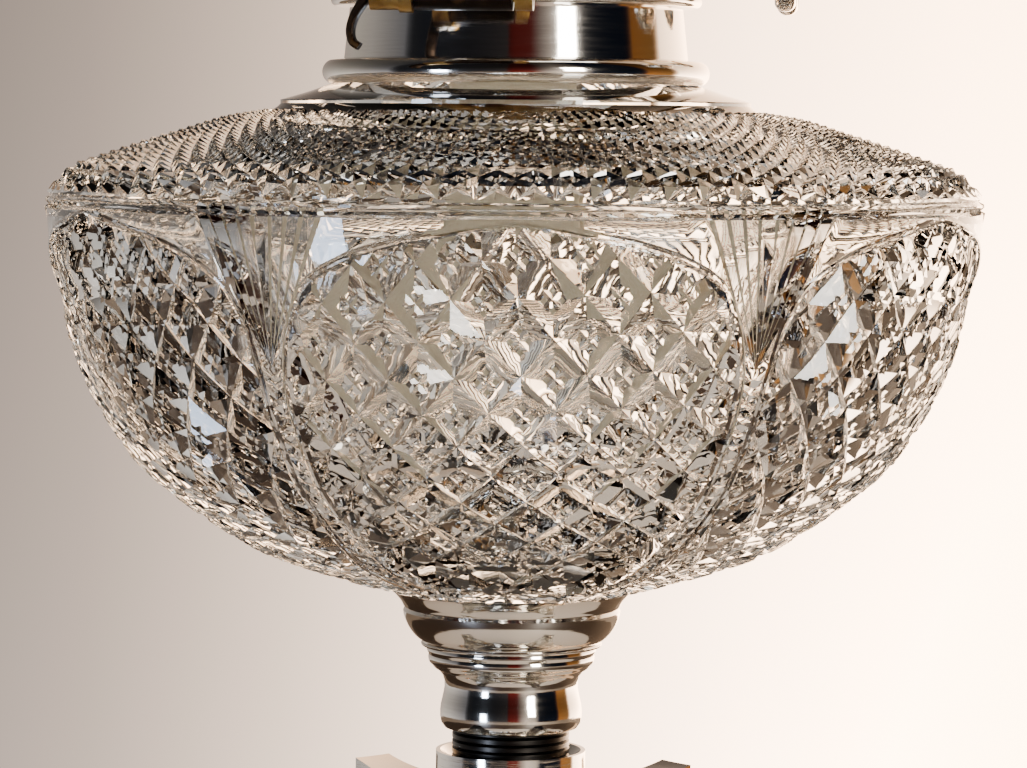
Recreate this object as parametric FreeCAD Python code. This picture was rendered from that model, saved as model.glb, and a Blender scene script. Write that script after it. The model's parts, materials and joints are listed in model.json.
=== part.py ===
import FreeCAD, Part
import math
import os

os.makedirs("parts", exist_ok=True)

# A table oil lamp: stepped square base, fluted column with a leaf capital, a cut glass font on
# a threaded stub, and a two-wick burner with winders, a snuffer lever and a glass chimney.
# Millimetres, +Z up, origin at the middle of the underside. Wicks and winders run along X.

# clearances
run_fit = 0.05          # radial, between a shaft and its bearing
move_gap = 0.3          # between faces of pieces that move past each other
bed_gap = 0.02          # between pieces that are cemented or screwed together

# stand
base_width = 150.0
felt_thickness = 1.5
felt_inset = 3.0
sheet_wall = 2.0        # thickness of the base and column shells
step_heights = (11.0, 7.0, 6.0)
step_insets = (0.0, 7.0, 13.0)
step_round = 2.0
moulding_radius = 53.0
moulding_height = 24.0
foot_radius = 31.0
foot_height = 26.0
shaft_radius = 19.5     # at the foot
shaft_top_radius = 16.8
shaft_length = 187.0
flute_count = 20
flute_width = 4.3
astragal_radius = 20.0
astragal_height = 6.5
tie_radius = 4.0
nut_width = 14.0
nut_height = 6.5
washer_radius = 13.0
washer_height = 2.0

# capital
bell_height = 50.0
bell_top_radius = 27.0
leaf_count = 8
lower_leaf_height = 24.0
upper_leaf_start = 12.0     # above the foot of the bell
upper_leaf_height = 26.0
leaf_thickness = 1.6
horn_radius = 46.0      # from the axis to the tip of an abacus horn
horn_width = 9.0
horn_rise = 4.2
abacus_thickness = 5.0
side_sag = 9.0          # how far an abacus side curves in between two horns
scroll_radius = 6.0
rosette_radius = 5.5

# socket and font mount
ring_radius = 15.3
ring_lip_radius = 14.4
ring_height = 11.0
ring_floor = 3.0
thread_radius = 12.0
thread_pitch = 1.5
thread_depth = 0.55
stub_show = 4.4         # thread left showing between the socket and the cup
cup_foot_radius = 14.2
cup_waist_radius = 13.4
cup_lower_height = 15.4
cup_upper_height = 13.0
cup_lip_radius = 17.4
cup_top_radius = 24.7
peg_radius = 9.0
peg_length = 10.5

# glass font and collar
bowl_radius = 95.0
bowl_height = 98.7      # from the cup to the edge round the neck
neck_edge_radius = 47.6
neck_height = 4.2
wall_neck = 5.0
wall_bowl = 6.0
collar_bead_radius = 39.2
collar_band_radius = 34.8
collar_top_radius = 33.7
collar_bead_height = 4.6
collar_band_height = 10.6
collar_wall = 1.3
lip_bore = 31.2
lip_height = 2.0
notch_angle = 24.0

# burner
flange_radius = 37.5
flange_height = 2.4
skirt_radius = 30.8
skirt_drop = 9.0
lug_height = 2.5
lug_angle = 16.0
drum_radius = 31.0
drum_height = 22.0
drum_wall = 1.0
wick_width = 27.0
wick_thickness = 2.6
wick_spacing = 14.0     # between the middles of the two wicks
wick_play = 0.4
tube_wall = 0.8
tube_top = 46.0         # above the flange
tube_drop = 6.0
window_height = 10.0
wick_show = 2.5
wick_tail = 92.0        # wick below the flange
spindle_height = 8.0    # above the flange
spindle_radius = 1.3
spur_radius = 4.0
spur_places = (-10.0, -4.0, 4.0, 10.0)
spur_width = 1.0
knob_radius = 9.0
knob_width = 6.0
knob_reach = 54.5
gallery_radius = 40.0
gallery_height = 12.0
prong_count = 12
dome_radius = 27.0
dome_height = 21.0
chimney_base_radius = 31.5
chimney_bulge_radius = 38.0
chimney_top_radius = 22.5
chimney_height = 235.0
chimney_wall = 1.8
lever_stand_off = 11.0  # from the drum's side to the lever's pivot
lever_shaft_radius = 2.0
lever_sleeve_radius = 3.6
sleeve_wall = 0.7
sleeve_length = 28.5

V = FreeCAD.Vector
up = V(0, 0, 1)


def cyl(radius, height, z=0.0, x=0.0, y=0.0):
    return Part.makeCylinder(radius, height, V(x, y, z))


def tube(outer, inner, height, z=0.0):
    return cyl(outer, height, z).cut(cyl(inner, height + 2, z - 1))


def box(width, depth, height, z=0.0, x=0.0, y=0.0):
    return Part.makeBox(width, depth, height, V(x - width / 2, y - depth / 2, z))


def rod_x(radius, x0, x1, y, z):
    return Part.makeCylinder(radius, x1 - x0, V(x0, y, z), V(1, 0, 0))


def turned(points):
    # a solid of revolution from (radius, height) corners
    wire = Part.makePolygon([V(r, 0, z) for r, z in points + points[:1]])
    return Part.Face(wire).revolve(V(0, 0, 0), up, 360)


def turned_edges(edges):
    return Part.Face(Part.Wire(edges)).revolve(V(0, 0, 0), up, 360)


def line(a, b):
    return Part.makeLine(V(a[0], 0, a[1]), V(b[0], 0, b[1]))


def arc(a, through, b):
    return Part.Arc(V(a[0], 0, a[1]), V(through[0], 0, through[1]), V(b[0], 0, b[1])).toShape()


def spline(points):
    curve = Part.BSplineCurve()
    curve.interpolate([V(r, 0, z) for r, z in points])
    return curve.toShape()


def around(shape, count, start=0.0):
    copies = []
    for i in range(count):
        copy = shape.copy()
        copy.rotate(V(0, 0, 0), up, start + 360.0 * i / count)
        copies.append(copy)
    return copies


def prism(points, height, z=0.0):
    wire = Part.makePolygon([V(x, y, z) for x, y in points + points[:1]])
    return Part.Face(wire).extrude(V(0, 0, height))


def side_prism(points, half_width):
    # a flat outline in the X-Z plane, thickened both ways along Y
    wire = Part.makePolygon([V(x, -half_width, z) for x, z in points + points[:1]])
    return Part.Face(wire).extrude(V(0, 2 * half_width, 0))


def joined(shapes):
    result = shapes[0]
    if len(shapes) > 1:
        result = result.fuse(shapes[1:])
    return result.removeSplitter()


def save(name, shape):
    solids = shape if isinstance(shape, list) else [shape]
    shape = Part.makeCompound([s for part in solids for s in part.Solids])
    if not shape.Solids or not shape.isValid():
        raise ValueError(name + " is not a sound solid")
    shape.exportStep("parts/" + name + ".step")
    print(name, len(shape.Solids), round(shape.Volume))


# heights of the main levels
plinth_top = felt_thickness + sum(step_heights)
foot_bottom = plinth_top + moulding_height
shaft_bottom = foot_bottom + foot_height
shaft_top = shaft_bottom + shaft_length
bell_bottom = shaft_top + astragal_height
abacus_level = bell_bottom + bell_height - 5.0
ring_bottom = abacus_level + abacus_thickness
ring_top = ring_bottom + ring_height
cup_bottom = ring_top + stub_show
cup_middle = cup_bottom + cup_lower_height
bowl_bottom = cup_middle + cup_upper_height
neck_edge = bowl_bottom + bowl_height
collar_bottom = neck_edge + neck_height
collar_top = collar_bottom + collar_bead_height + collar_band_height
flange_level = collar_top + move_gap
drum_bottom = flange_level + flange_height
drum_top = drum_bottom + drum_height


# ---- stand ----

def rounded_square(width, height, z, radius):
    block = box(width, width, height, z)
    return block.makeFillet(radius, [e for e in block.Edges
                                     if abs(e.Vertexes[0].Z - e.Vertexes[-1].Z) > height / 2])


def stepped_block(inset, drop):
    # the plinth's steps, shrunk by inset on every side and lowered by drop at each tread
    level = felt_thickness - (1.0 if inset else 0.0)
    steps = []
    top = felt_thickness
    for height, step_inset in zip(step_heights, step_insets):
        top += height
        width = base_width - 2 * step_inset - 2 * inset
        steps.append(rounded_square(width, top - drop - level, level, max(step_round - inset, 0.5)))
    return joined(steps)


def foot_edges():
    # lower torus, hollow and upper torus of the column foot, from below
    low = foot_bottom
    mid = foot_bottom + foot_height * 0.4
    neck = foot_bottom + foot_height * 0.72
    top = shaft_bottom
    hollow = shaft_radius + 1.5
    return [
        line((0, low), (foot_radius - 3, low)),
        arc((foot_radius - 3, low), (foot_radius, (low + mid) / 2), (foot_radius - 3, mid)),
        line((foot_radius - 3, mid), (foot_radius - 5, mid)),
        arc((foot_radius - 5, mid), (hollow + 1, mid + 3), (hollow + 3, neck)),
        line((hollow + 3, neck), (hollow + 3.5, neck)),
        arc((hollow + 3.5, neck), (hollow + 5.5, (neck + top) / 2), (hollow + 3.5, top)),
        line((hollow + 3.5, top), (0, top)),
        line((0, top), (0, low)),
    ]


def moulding_edges():
    low = plinth_top
    top = foot_bottom
    edge = moulding_radius
    inner = foot_radius + 1
    return [
        line((0, low), (edge, low)),
        line((edge, low), (edge, low + 3)),
        arc((edge, low + 3), (edge - 2.5, low + 6), (edge - 5, low + 6)),
        arc((edge - 5, low + 6), (inner + 5.5, low + 11), (inner + 2.5, top - 3)),
        line((inner + 2.5, top - 3), (inner + 2.5, top)),
        line((inner + 2.5, top), (0, top)),
        line((0, top), (0, low)),
    ]


def fluted_shaft():
    body = turned([(shaft_radius - sheet_wall - 4, shaft_bottom), (shaft_radius, shaft_bottom),
                   (shaft_top_radius, shaft_top), (shaft_radius - sheet_wall - 4, shaft_top)])
    slope = math.atan2(shaft_radius - shaft_top_radius, shaft_length)
    margin = 7.0
    length = (shaft_length - 2 * margin) / math.cos(slope)
    cutter = Part.makeCylinder(flute_width / 2, length, V(shaft_radius + 0.4, 0, shaft_bottom + margin),
                               V(-math.sin(slope), 0, math.cos(slope)))
    ends = [Part.makeSphere(flute_width / 2, V(shaft_radius + 0.4 - t * math.sin(slope), 0,
                                               shaft_bottom + margin + t * math.cos(slope)))
            for t in (0, length)]
    flute = joined([cutter] + ends)
    return body.cut(Part.makeCompound(around(flute, flute_count)))


def make_stand():
    bore = tie_radius + 0.5
    rod_hole = cyl(bore, ring_top)
    felt_width = base_width - 2 * felt_inset
    save("base_felt", rounded_square(felt_width, felt_thickness, 0, step_round)
         .cut(cyl(washer_radius + 4, felt_thickness * 2, -1)))
    shell = stepped_block(0.0, 0.0).cut(stepped_block(sheet_wall, sheet_wall)).cut(rod_hole)
    save("base_plinth", shell)
    weight_width = base_width - 2 * step_insets[-1] - 2 * sheet_wall - 2 * move_gap
    weight_top = plinth_top - sheet_wall
    weight = box(weight_width, weight_width, weight_top - felt_thickness, felt_thickness)
    pocket_top = felt_thickness + nut_height + washer_height + 1
    weight = weight.cut(cyl(washer_radius + 1, pocket_top, 0)).cut(rod_hole)
    save("base_weight", weight)
    save("tie_washer", tube(washer_radius, bore - 0.3, washer_height, pocket_top - washer_height))
    nut_bottom = pocket_top - washer_height - nut_height
    corners = [(nut_width / math.sqrt(3) * math.cos(math.radians(a)),
                nut_width / math.sqrt(3) * math.sin(math.radians(a))) for a in range(0, 360, 60)]
    save("tie_nut", prism(corners, nut_height, nut_bottom).cut(cyl(tie_radius + bed_gap, 40)))
    save("tie_rod", cyl(tie_radius, ring_bottom + ring_floor - nut_bottom - 1, nut_bottom + 1))
    save("base_moulding", turned_edges(moulding_edges()).cut(rod_hole))
    save("column_foot", turned_edges(foot_edges()).cut(rod_hole))
    save("column_shaft", fluted_shaft())
    middle = shaft_top + astragal_height / 2
    ring = turned_edges([
        line((bore, shaft_top), (astragal_radius - 3.2, shaft_top)),
        arc((astragal_radius - 3.2, shaft_top), (astragal_radius, middle - 1),
            (astragal_radius - 2.4, bell_bottom - 1.6)),
        line((astragal_radius - 2.4, bell_bottom - 1.6), (astragal_radius - 2.4, bell_bottom)),
        line((astragal_radius - 2.4, bell_bottom), (bore, bell_bottom)),
        line((bore, bell_bottom), (bore, shaft_top))])
    save("astragal", ring)


# ---- capital ----

bell_foot_radius = astragal_radius - 4.0
bell_throat_radius = bell_foot_radius + 0.8


def bell_edges():
    throat = bell_bottom + bell_height * 0.55
    top = abacus_level
    return [
        line((0, bell_bottom), (bell_foot_radius, bell_bottom)),
        line((bell_foot_radius, bell_bottom), (bell_throat_radius, throat)),
        arc((bell_throat_radius, throat), (bell_throat_radius + 2.5, throat + (top - throat) * 0.6),
            (bell_top_radius - 4.0, top)),
        line((bell_top_radius - 4.0, top), (0, top)),
        line((0, top), (0, bell_bottom)),
    ]


def leaf(start, height, reach, width):
    # a leaf that stands against the bell and curls out and down at its tip
    low = bell_bottom + start
    back = bell_foot_radius + 0.5
    curl = height * 0.16
    rise = low + height - curl
    outer = Part.Wire([
        line((back, low), (back + 0.8, rise - curl)),
        arc((back + 0.8, rise - curl), (back + 0.8 + reach * 0.45, rise + curl * 0.8),
            (back + reach, rise - curl * 0.6)),
        line((back + reach, rise - curl * 0.6), (back + reach - leaf_thickness, rise - curl * 0.6)),
        arc((back + reach - leaf_thickness, rise - curl * 0.6),
            (back + 1 + reach * 0.5, rise + curl * 0.8 - leaf_thickness),
            (back + 0.8 + leaf_thickness, rise - curl)),
        line((back + 0.8 + leaf_thickness, rise - curl), (back + leaf_thickness, low)),
        line((back + leaf_thickness, low), (back, low))])
    blade = Part.Face(outer).extrude(V(0, width + 2, 0))
    blade.translate(V(0, -(width + 2) / 2, 0))
    lobes = 3
    outline = [(-width * 0.36, low - 1)]
    for i in range(lobes):
        z = low + height * (i + 0.45) / (lobes + 0.3)
        spread = width / 2 * (1.0 - 0.16 * i * i)
        outline += [(-spread, z), (-spread * 0.74, z + height * 0.1)]
    outline += [(0, low + height + 1)]
    outline += [(-x, z) for x, z in reversed(outline[:-1])]
    wire = Part.makePolygon([V(0, y, z) for y, z in outline + outline[:1]])
    front = Part.Face(wire).extrude(V(2 * horn_radius, 0, 0))
    return blade.common(front)


def scroll():
    # a rolled-up strip under an abacus horn, with the stalk that carries it
    turns = 1.6
    steps = 26
    centre_x = horn_radius - horn_width * 0.5 - scroll_radius
    centre_z = abacus_level - scroll_radius - 0.6
    inner, outer = [], []
    for i in range(steps + 1):
        angle = math.pi / 2 - 2 * math.pi * turns * i / steps
        radius = scroll_radius * (1 - 0.78 * i / steps)
        outer.append((centre_x + radius * math.cos(angle), centre_z + radius * math.sin(angle)))
        radius -= 1.5 * (1 - 0.5 * i / steps)
        inner.append((centre_x + radius * math.cos(angle), centre_z + radius * math.sin(angle)))
    roll = side_prism(outer + inner[::-1], 2.8)
    hub = Part.makeCylinder(scroll_radius * 0.3, 6.4, V(centre_x, -3.2, centre_z), V(0, 1, 0))
    start = (bell_throat_radius + 1.2, bell_bottom + bell_height * 0.5)
    top = (centre_x, centre_z + scroll_radius)
    bend = (centre_x * 0.62, centre_z + scroll_radius * 0.35)
    stalk_edges = [
        arc(start, bend, top), line(top, (top[0], top[1] - 1.5)),
        arc((top[0], top[1] - 1.5), (bend[0] + 0.6, bend[1] - 1.6), (start[0] + 1.6, start[1])),
        line((start[0] + 1.6, start[1]), start)]
    stalk = Part.Face(Part.Wire(stalk_edges)).extrude(V(0, 4.4, 0))
    stalk.translate(V(0, -2.2, 0))
    return joined([roll, hub, stalk])


def abacus():
    # four horns on the diagonals, hollow sides, the horns turned up at their tips
    reach = horn_radius / math.sqrt(2)
    half = horn_width / 2 / math.sqrt(2)
    side = [(reach + half, -(reach - half)), (reach - side_sag, 0), (reach + half, reach - half)]
    corners = []
    for turn in range(4):
        a = math.radians(90 * turn)
        corners.append([V(x * math.cos(a) - y * math.sin(a), x * math.sin(a) + y * math.cos(a), 0)
                        for x, y in side])
    edges = []
    for turn in range(4):
        a, b, c = corners[turn]
        edges.append(Part.Arc(a, b, c).toShape())
        edges.append(Part.makeLine(c, corners[(turn + 1) % 4][0]))
    plan = Part.Face(Part.Wire(edges))
    plan.translate(V(0, 0, abacus_level - 1))
    block = plan.extrude(V(0, 0, abacus_thickness + horn_rise + 2))
    flat = bell_top_radius - 3
    tip = horn_radius + 2
    dish = turned_edges([
        line((0, abacus_level), (flat, abacus_level)),
        arc((flat, abacus_level), ((flat + tip) / 2, abacus_level + horn_rise * 0.34),
            (tip, abacus_level + horn_rise)),
        line((tip, abacus_level + horn_rise), (tip, abacus_level + horn_rise + abacus_thickness)),
        arc((tip, abacus_level + horn_rise + abacus_thickness),
            ((flat + tip) / 2, abacus_level + abacus_thickness + horn_rise * 0.34),
            (flat, abacus_level + abacus_thickness)),
        line((flat, abacus_level + abacus_thickness), (0, abacus_level + abacus_thickness)),
        line((0, abacus_level + abacus_thickness), (0, abacus_level))])
    return block.common(dish)


def rosette():
    # a small flower on the middle of an abacus side
    face = horn_radius / math.sqrt(2) - side_sag
    middle = abacus_level + abacus_thickness / 2 - 1.0
    petals = [Part.makeSphere(rosette_radius * 0.42,
                              V(face + 0.2, rosette_radius * 0.6 * math.cos(math.radians(a)),
                                middle + rosette_radius * 0.6 * math.sin(math.radians(a))))
              for a in range(0, 360, 72)]
    heart = Part.makeSphere(rosette_radius * 0.45, V(face + 1.0, 0, middle))
    flower = joined(petals + [heart])
    keep = Part.makeBox(20, 40, 40, V(face + 0.05, -20, middle - 20))
    return flower.common(keep)


def socket_ring():
    lip = ring_radius - ring_lip_radius
    bore = thread_radius + run_fit
    floor = ring_bottom + ring_floor
    return turned([
        (tie_radius + bed_gap, ring_bottom), (ring_radius + 1.2, ring_bottom),
        (ring_radius + 1.2, ring_bottom + 1.6), (ring_radius, ring_bottom + 2.4),
        (ring_radius, ring_top), (ring_lip_radius, ring_top), (bore, ring_top - 3 * lip),
        (bore, floor), (tie_radius + bed_gap, floor)])


def make_capital():
    rod_hole = cyl(tie_radius + 0.5, ring_top)
    bell = turned_edges(bell_edges()).cut(rod_hole)
    plate = abacus().cut(rod_hole)
    lower = around(leaf(0.3, lower_leaf_height, 7.5, 11.5).cut(bell), leaf_count)
    upper = leaf(upper_leaf_start, upper_leaf_height, 9.5, 11.0).cut(bell)
    upper.rotate(V(0, 0, 0), up, 180.0 / leaf_count)
    upper = max(upper.cut(Part.makeCompound(lower)).Solids, key=lambda part: part.Volume)
    save("capital_bell", bell)
    save("leaves_lower", lower)
    save("leaves_upper", around(upper, leaf_count))
    save("corner_scrolls", around(scroll().cut(Part.makeCompound([bell, plate])), 4, 45.0))
    save("abacus", plate)
    save("rosettes", around(rosette().cut(Part.makeCompound([bell, plate])), 4))
    save("socket_ring", socket_ring())


# ---- font ----

def threaded_stub():
    # the thread is drawn as closed grooves, one pitch apart
    body = cyl(thread_radius, cup_bottom - ring_bottom - ring_floor - move_gap + 6,
               ring_bottom + ring_floor + move_gap)
    grooves = []
    z = cup_bottom - 0.6
    while z > ring_top - 3:
        grooves.append(turned([(thread_radius - thread_depth, z), (thread_radius + 1, z - 0.9),
                               (thread_radius + 1, z + 0.9)]))
        z -= thread_pitch
    return body.cut(Part.makeCompound(grooves)).cut(cyl(thread_radius - 3, 60, ring_bottom))


def lower_cup():
    low, top = cup_bottom, cup_middle
    foot, waist, lip = cup_foot_radius, cup_waist_radius, cup_lip_radius
    bore = thread_radius - 1.0
    edges = [
        line((thread_radius + bed_gap, low), (foot - 2.2, low)),
        arc((foot - 2.2, low), (foot - 0.6, low + 0.7), (foot, low + 2.4)),
        line((foot, low + 2.4), (foot - 0.3, low + 4.4)),
        line((foot - 0.3, low + 4.4), (foot - 0.7, low + 4.6)),
        arc((foot - 0.7, low + 4.6), (waist, low + 7.5), (waist + 0.9, low + 11.4)),
        line((waist + 0.9, low + 11.4), (lip - 0.5, low + 13.0)),
        line((lip - 0.5, low + 13.0), (lip - 0.3, top)),
        line((lip - 0.3, top), (bore, top)),
        line((bore, top), (bore, low + 6)),
        line((bore, low + 6), (thread_radius + bed_gap, low + 6)),
        line((thread_radius + bed_gap, low + 6), (thread_radius + bed_gap, low))]
    return turned_edges(edges)


def upper_cup():
    low, top = cup_middle, bowl_bottom
    lip, rim = cup_lip_radius, cup_top_radius
    wall = sheet_wall
    edges = [
        line((peg_radius, low), (lip - 0.4, low)),
        line((lip - 0.4, low), (lip + 0.3, low + 1.2)),
        line((lip + 0.3, low + 1.2), (lip + 0.8, low + 2.2)),
        arc((lip + 0.8, low + 2.2), (lip + 4.2, low + 5.6), (lip + 5.6, top - 2.9)),
        line((lip + 5.6, top - 2.9), (rim - 0.6, top - 2.5)),
        line((rim - 0.6, top - 2.5), (rim, top)),
        line((rim, top), (rim - wall, top)),
        line((rim - wall, top), (rim - wall - 0.8, top - 2.5)),
        arc((rim - wall - 0.8, top - 2.5), (lip + 1.6, low + 5.6), (lip - 1.6, low + 3)),
        line((lip - 1.6, low + 3), (peg_radius, low + 3)),
        line((peg_radius, low + 3), (peg_radius, low))]
    return turned_edges(edges)


def cup_bed():
    # plaster between the glass peg and the upper cup
    low, top = cup_middle + 3 + bed_gap, bowl_bottom - bed_gap
    lip, rim = cup_lip_radius, cup_top_radius - sheet_wall - bed_gap
    edges = [
        line((peg_radius + bed_gap, low), (lip - 1.7, low)),
        arc((lip - 1.7, low), (lip + 1.5, low + 2.6), (rim - 1.0, top - 2.6)),
        line((rim - 1.0, top - 2.6), (rim - 0.1, top)),
        line((rim - 0.1, top), (peg_radius + bed_gap, top)),
        line((peg_radius + bed_gap, top), (peg_radius + bed_gap, low))]
    return turned_edges(edges)


def bowl_outline():
    # outside of the glass below the neck, as shares of its radius and height
    shares = [(0.259, 0.0), (0.456, 0.054), (0.641, 0.142), (0.799, 0.263), (0.902, 0.413),
              (0.965, 0.610), (0.994, 0.728), (0.999, 0.796), (0.975, 0.872), (0.884, 0.912),
              (0.757, 0.947), (0.610, 0.980)]
    points = [(bowl_radius * r, bowl_bottom + bowl_height * z) for r, z in shares]
    return points + [(neck_edge_radius + 0.4, neck_edge - 0.6)]


def bowl_lining():
    # inside of the glass, from the middle of its floor up to the neck
    z0, h, r = bowl_bottom, bowl_height, bowl_radius
    depth = wall_bowl
    return [(0, z0 + depth + 2), (r * 0.21, z0 + depth + 3), (r * 0.50, z0 + h * 0.19),
            (r * 0.73, z0 + h * 0.34), (r * 0.84, z0 + h * 0.50), (r - 8.0, z0 + h * 0.68),
            (r - 7.5, z0 + h * 0.80), (r - 12.0, z0 + h * 0.87), (r * 0.68, neck_edge - 8.5),
            (neck_edge_radius + 4, neck_edge - wall_neck - 0.5)]


def glass_bowl():
    outline = bowl_outline()
    lining = bowl_lining()
    neck_top = collar_bottom + collar_bead_height
    neck_outer = collar_top_radius - collar_wall - 1.4
    neck_inner = neck_outer - wall_neck + 1.4
    shade = collar_bead_radius - 2.2
    edges = [
        line((0, bowl_bottom - peg_length), (peg_radius - bed_gap, bowl_bottom - peg_length)),
        line((peg_radius - bed_gap, bowl_bottom - peg_length), (peg_radius - bed_gap, bowl_bottom)),
        line((peg_radius - bed_gap, bowl_bottom), outline[0]),
        spline(outline),
        line(outline[-1], (neck_edge_radius, neck_edge + 0.8)),
        line((neck_edge_radius, neck_edge + 0.8), (neck_edge_radius - 4.5, neck_edge + 2)),
        line((neck_edge_radius - 4.5, neck_edge + 2), (shade, collar_bottom - bed_gap)),
        line((shade, collar_bottom - bed_gap), (neck_outer, collar_bottom - bed_gap)),
        line((neck_outer, collar_bottom - bed_gap), (neck_outer, neck_top)),
        line((neck_outer, neck_top), (neck_inner, neck_top)),
        line((neck_inner, neck_top), (neck_inner, neck_edge - 1)),
        line((neck_inner, neck_edge - 1), lining[-1]),
        spline(lining[::-1]),
        line(lining[0], (0, bowl_bottom - peg_length))]
    return turned_edges(edges)


def collar_ring():
    # a rolled bead, a tapering band, and an inner lip with two notches for the burner's lugs
    low = collar_bottom
    bead_top = low + collar_bead_height
    edges = [
        line((collar_bead_radius - 2.2, low), (collar_bead_radius - 1.4, low)),
        arc((collar_bead_radius - 1.4, low), (collar_bead_radius, low + collar_bead_height * 0.5),
            (collar_bead_radius - 1.4, bead_top)),
        line((collar_bead_radius - 1.4, bead_top), (collar_band_radius, bead_top + 0.4)),
        line((collar_band_radius, bead_top + 0.4), (collar_top_radius, collar_top)),
        line((collar_top_radius, collar_top), (lip_bore, collar_top)),
        line((lip_bore, collar_top), (lip_bore, collar_top - lip_height)),
        line((lip_bore, collar_top - lip_height),
             (collar_top_radius - collar_wall, collar_top - lip_height)),
        line((collar_top_radius - collar_wall, collar_top - lip_height),
             (collar_top_radius - collar_wall, low)),
        line((collar_top_radius - collar_wall, low), (collar_bead_radius - 2.2, low))]
    ring = turned_edges(edges)
    depth = collar_top_radius - collar_wall
    notch = sector(depth, notch_angle, lip_height + 2, collar_top - lip_height - 1)
    start = 90.0 - lug_angle / 2 - notch_angle
    return ring.cut(Part.makeCompound(around(notch, 2, start)))


def sector(radius, angle, height, z):
    # a pie slice that starts on the +X axis
    return Part.makeCylinder(radius, height, V(0, 0, z), up, angle)


def make_font():
    save("font_stub", threaded_stub())
    save("cup_lower", lower_cup())
    save("cup_upper", upper_cup())
    save("cup_plaster", cup_bed())
    save("font_bowl", glass_bowl())
    save("collar_ring", collar_ring())
    neck_outer = collar_top_radius - collar_wall - 1.4
    save("collar_plaster", tube(collar_top_radius - collar_wall - bed_gap, neck_outer + bed_gap,
                                collar_bead_height, collar_bottom))


# ---- burner ----

wick_middle = wick_spacing / 2
tube_half_x = wick_width / 2 + wick_play + tube_wall
tube_half_y = wick_thickness / 2 + wick_play + tube_wall
spindle_y = wick_middle + wick_thickness / 2 + 0.15 + spur_radius
spindle_z = flange_level + spindle_height
plate_thickness = 1.2
gallery_level = drum_top + plate_thickness
sleeve_bottom = spindle_z + spur_radius + 4.0
sleeve_half_x = tube_half_x + move_gap + sleeve_wall
sleeve_half_y = tube_half_y + move_gap + sleeve_wall
lever_y = -drum_radius - lever_stand_off
lever_z = flange_level + 1.7
crank_x = 5.2
tongue_reach = 12.5


def burner_flange():
    top = drum_bottom
    low = flange_level
    inner = skirt_radius - drum_wall - 0.2
    rim = flange_height / 2
    edges = [
        line((inner, low - skirt_drop), (skirt_radius, low - skirt_drop)),
        line((skirt_radius, low - skirt_drop), (skirt_radius, low)),
        line((skirt_radius, low), (flange_radius - rim, low)),
        arc((flange_radius - rim, low), (flange_radius, low + rim), (flange_radius - rim, top)),
        line((flange_radius - rim, top), (inner - 2, top)),
        line((inner - 2, top), (inner - 2, low + 0.6)),
        line((inner - 2, low + 0.6), (inner, low + 0.6)),
        line((inner, low + 0.6), (inner, low - skirt_drop))]
    lug_top = collar_top - lip_height - move_gap
    lug_radius = collar_top_radius - collar_wall - move_gap
    lug = sector(lug_radius, lug_angle, lug_height, lug_top - lug_height)
    lug = lug.cut(cyl(inner + 0.2, 60, lug_top - 30))
    return joined([turned_edges(edges)] + around(lug, 2, 90.0 - lug_angle / 2))


def burner_drum():
    shell = tube(drum_radius, drum_radius - drum_wall, drum_height, drum_bottom)
    cuts = []
    row_gap = 3.6
    columns = 36
    for row, z in enumerate((spindle_z + 3.4, spindle_z + 3.4 + row_gap,
                             spindle_z + 3.4 + 2 * row_gap)):
        hole = Part.makeCylinder(1.05, 4, V(drum_radius - 2.5, 0, z), V(1, 0, 0))
        cuts += around(hole, columns, 5.0 * (row % 2))
    for side in (-1, 1):
        cuts.append(rod_x(spindle_radius + 1.2 + bed_gap, -40, 40, side * spindle_y, spindle_z))
    cuts.append(box(6.0, 8.0, 11.0, sleeve_bottom - 6.5, crank_x, -drum_radius))
    return shell.cut(Part.makeCompound(cuts))


def wick_tube(side):
    low = flange_level - tube_drop
    height = tube_drop + tube_top
    y = side * wick_middle
    wall = 2 * tube_wall
    outer = box(2 * tube_half_x, 2 * tube_half_y, height, low, 0, y)
    inner = box(2 * tube_half_x - wall, 2 * tube_half_y - wall, height + 2, low - 1, 0, y)
    window = box(wick_width, 2 * tube_half_y, window_height, spindle_z - window_height / 2, 0,
                 y + side * tube_half_y)
    return outer.cut(inner).cut(window)


def tube_plate():
    plate = cyl(drum_radius - drum_wall - 0.1, plate_thickness, drum_bottom)
    for side in (-1, 1):
        plate = plate.cut(box(2 * (tube_half_x + bed_gap), 2 * (tube_half_y + bed_gap), 10,
                              drum_bottom - 5, 0, side * wick_middle))
    return plate


def spindle_bushes():
    bushes = []
    for side in (-1, 1):
        for end in (-1, 1):
            middle = end * (drum_radius - 1.0)
            bush = rod_x(spindle_radius + 1.2, middle - 2.5, middle + 4.0, side * spindle_y,
                         spindle_z)
            if end < 0:
                bush = rod_x(spindle_radius + 1.2, middle - 3.0, middle + 3.5,
                             side * spindle_y, spindle_z)
            hole = rod_x(spindle_radius + run_fit, -60, 60, side * spindle_y, spindle_z)
            bushes.append(bush.cut(hole))
    return bushes


def spindle(side):
    left = -drum_radius - 1.5
    return rod_x(spindle_radius, left, knob_reach - knob_width / 2 + 4, side * spindle_y, spindle_z)


def spurs(side):
    wheels = []
    teeth = 10
    for x in spur_places:
        points = []
        for i in range(2 * teeth):
            radius = spur_radius if i % 2 == 0 else spur_radius * 0.76
            angle = math.pi * i / teeth
            points.append(V(x - spur_width / 2, side * spindle_y + radius * math.cos(angle),
                            spindle_z + radius * math.sin(angle)))
        wheel = Part.Face(Part.makePolygon(points + points[:1])).extrude(V(spur_width, 0, 0))
        wheels.append(wheel.cut(rod_x(spindle_radius, -60, 60, side * spindle_y, spindle_z)))
    return wheels


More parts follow.
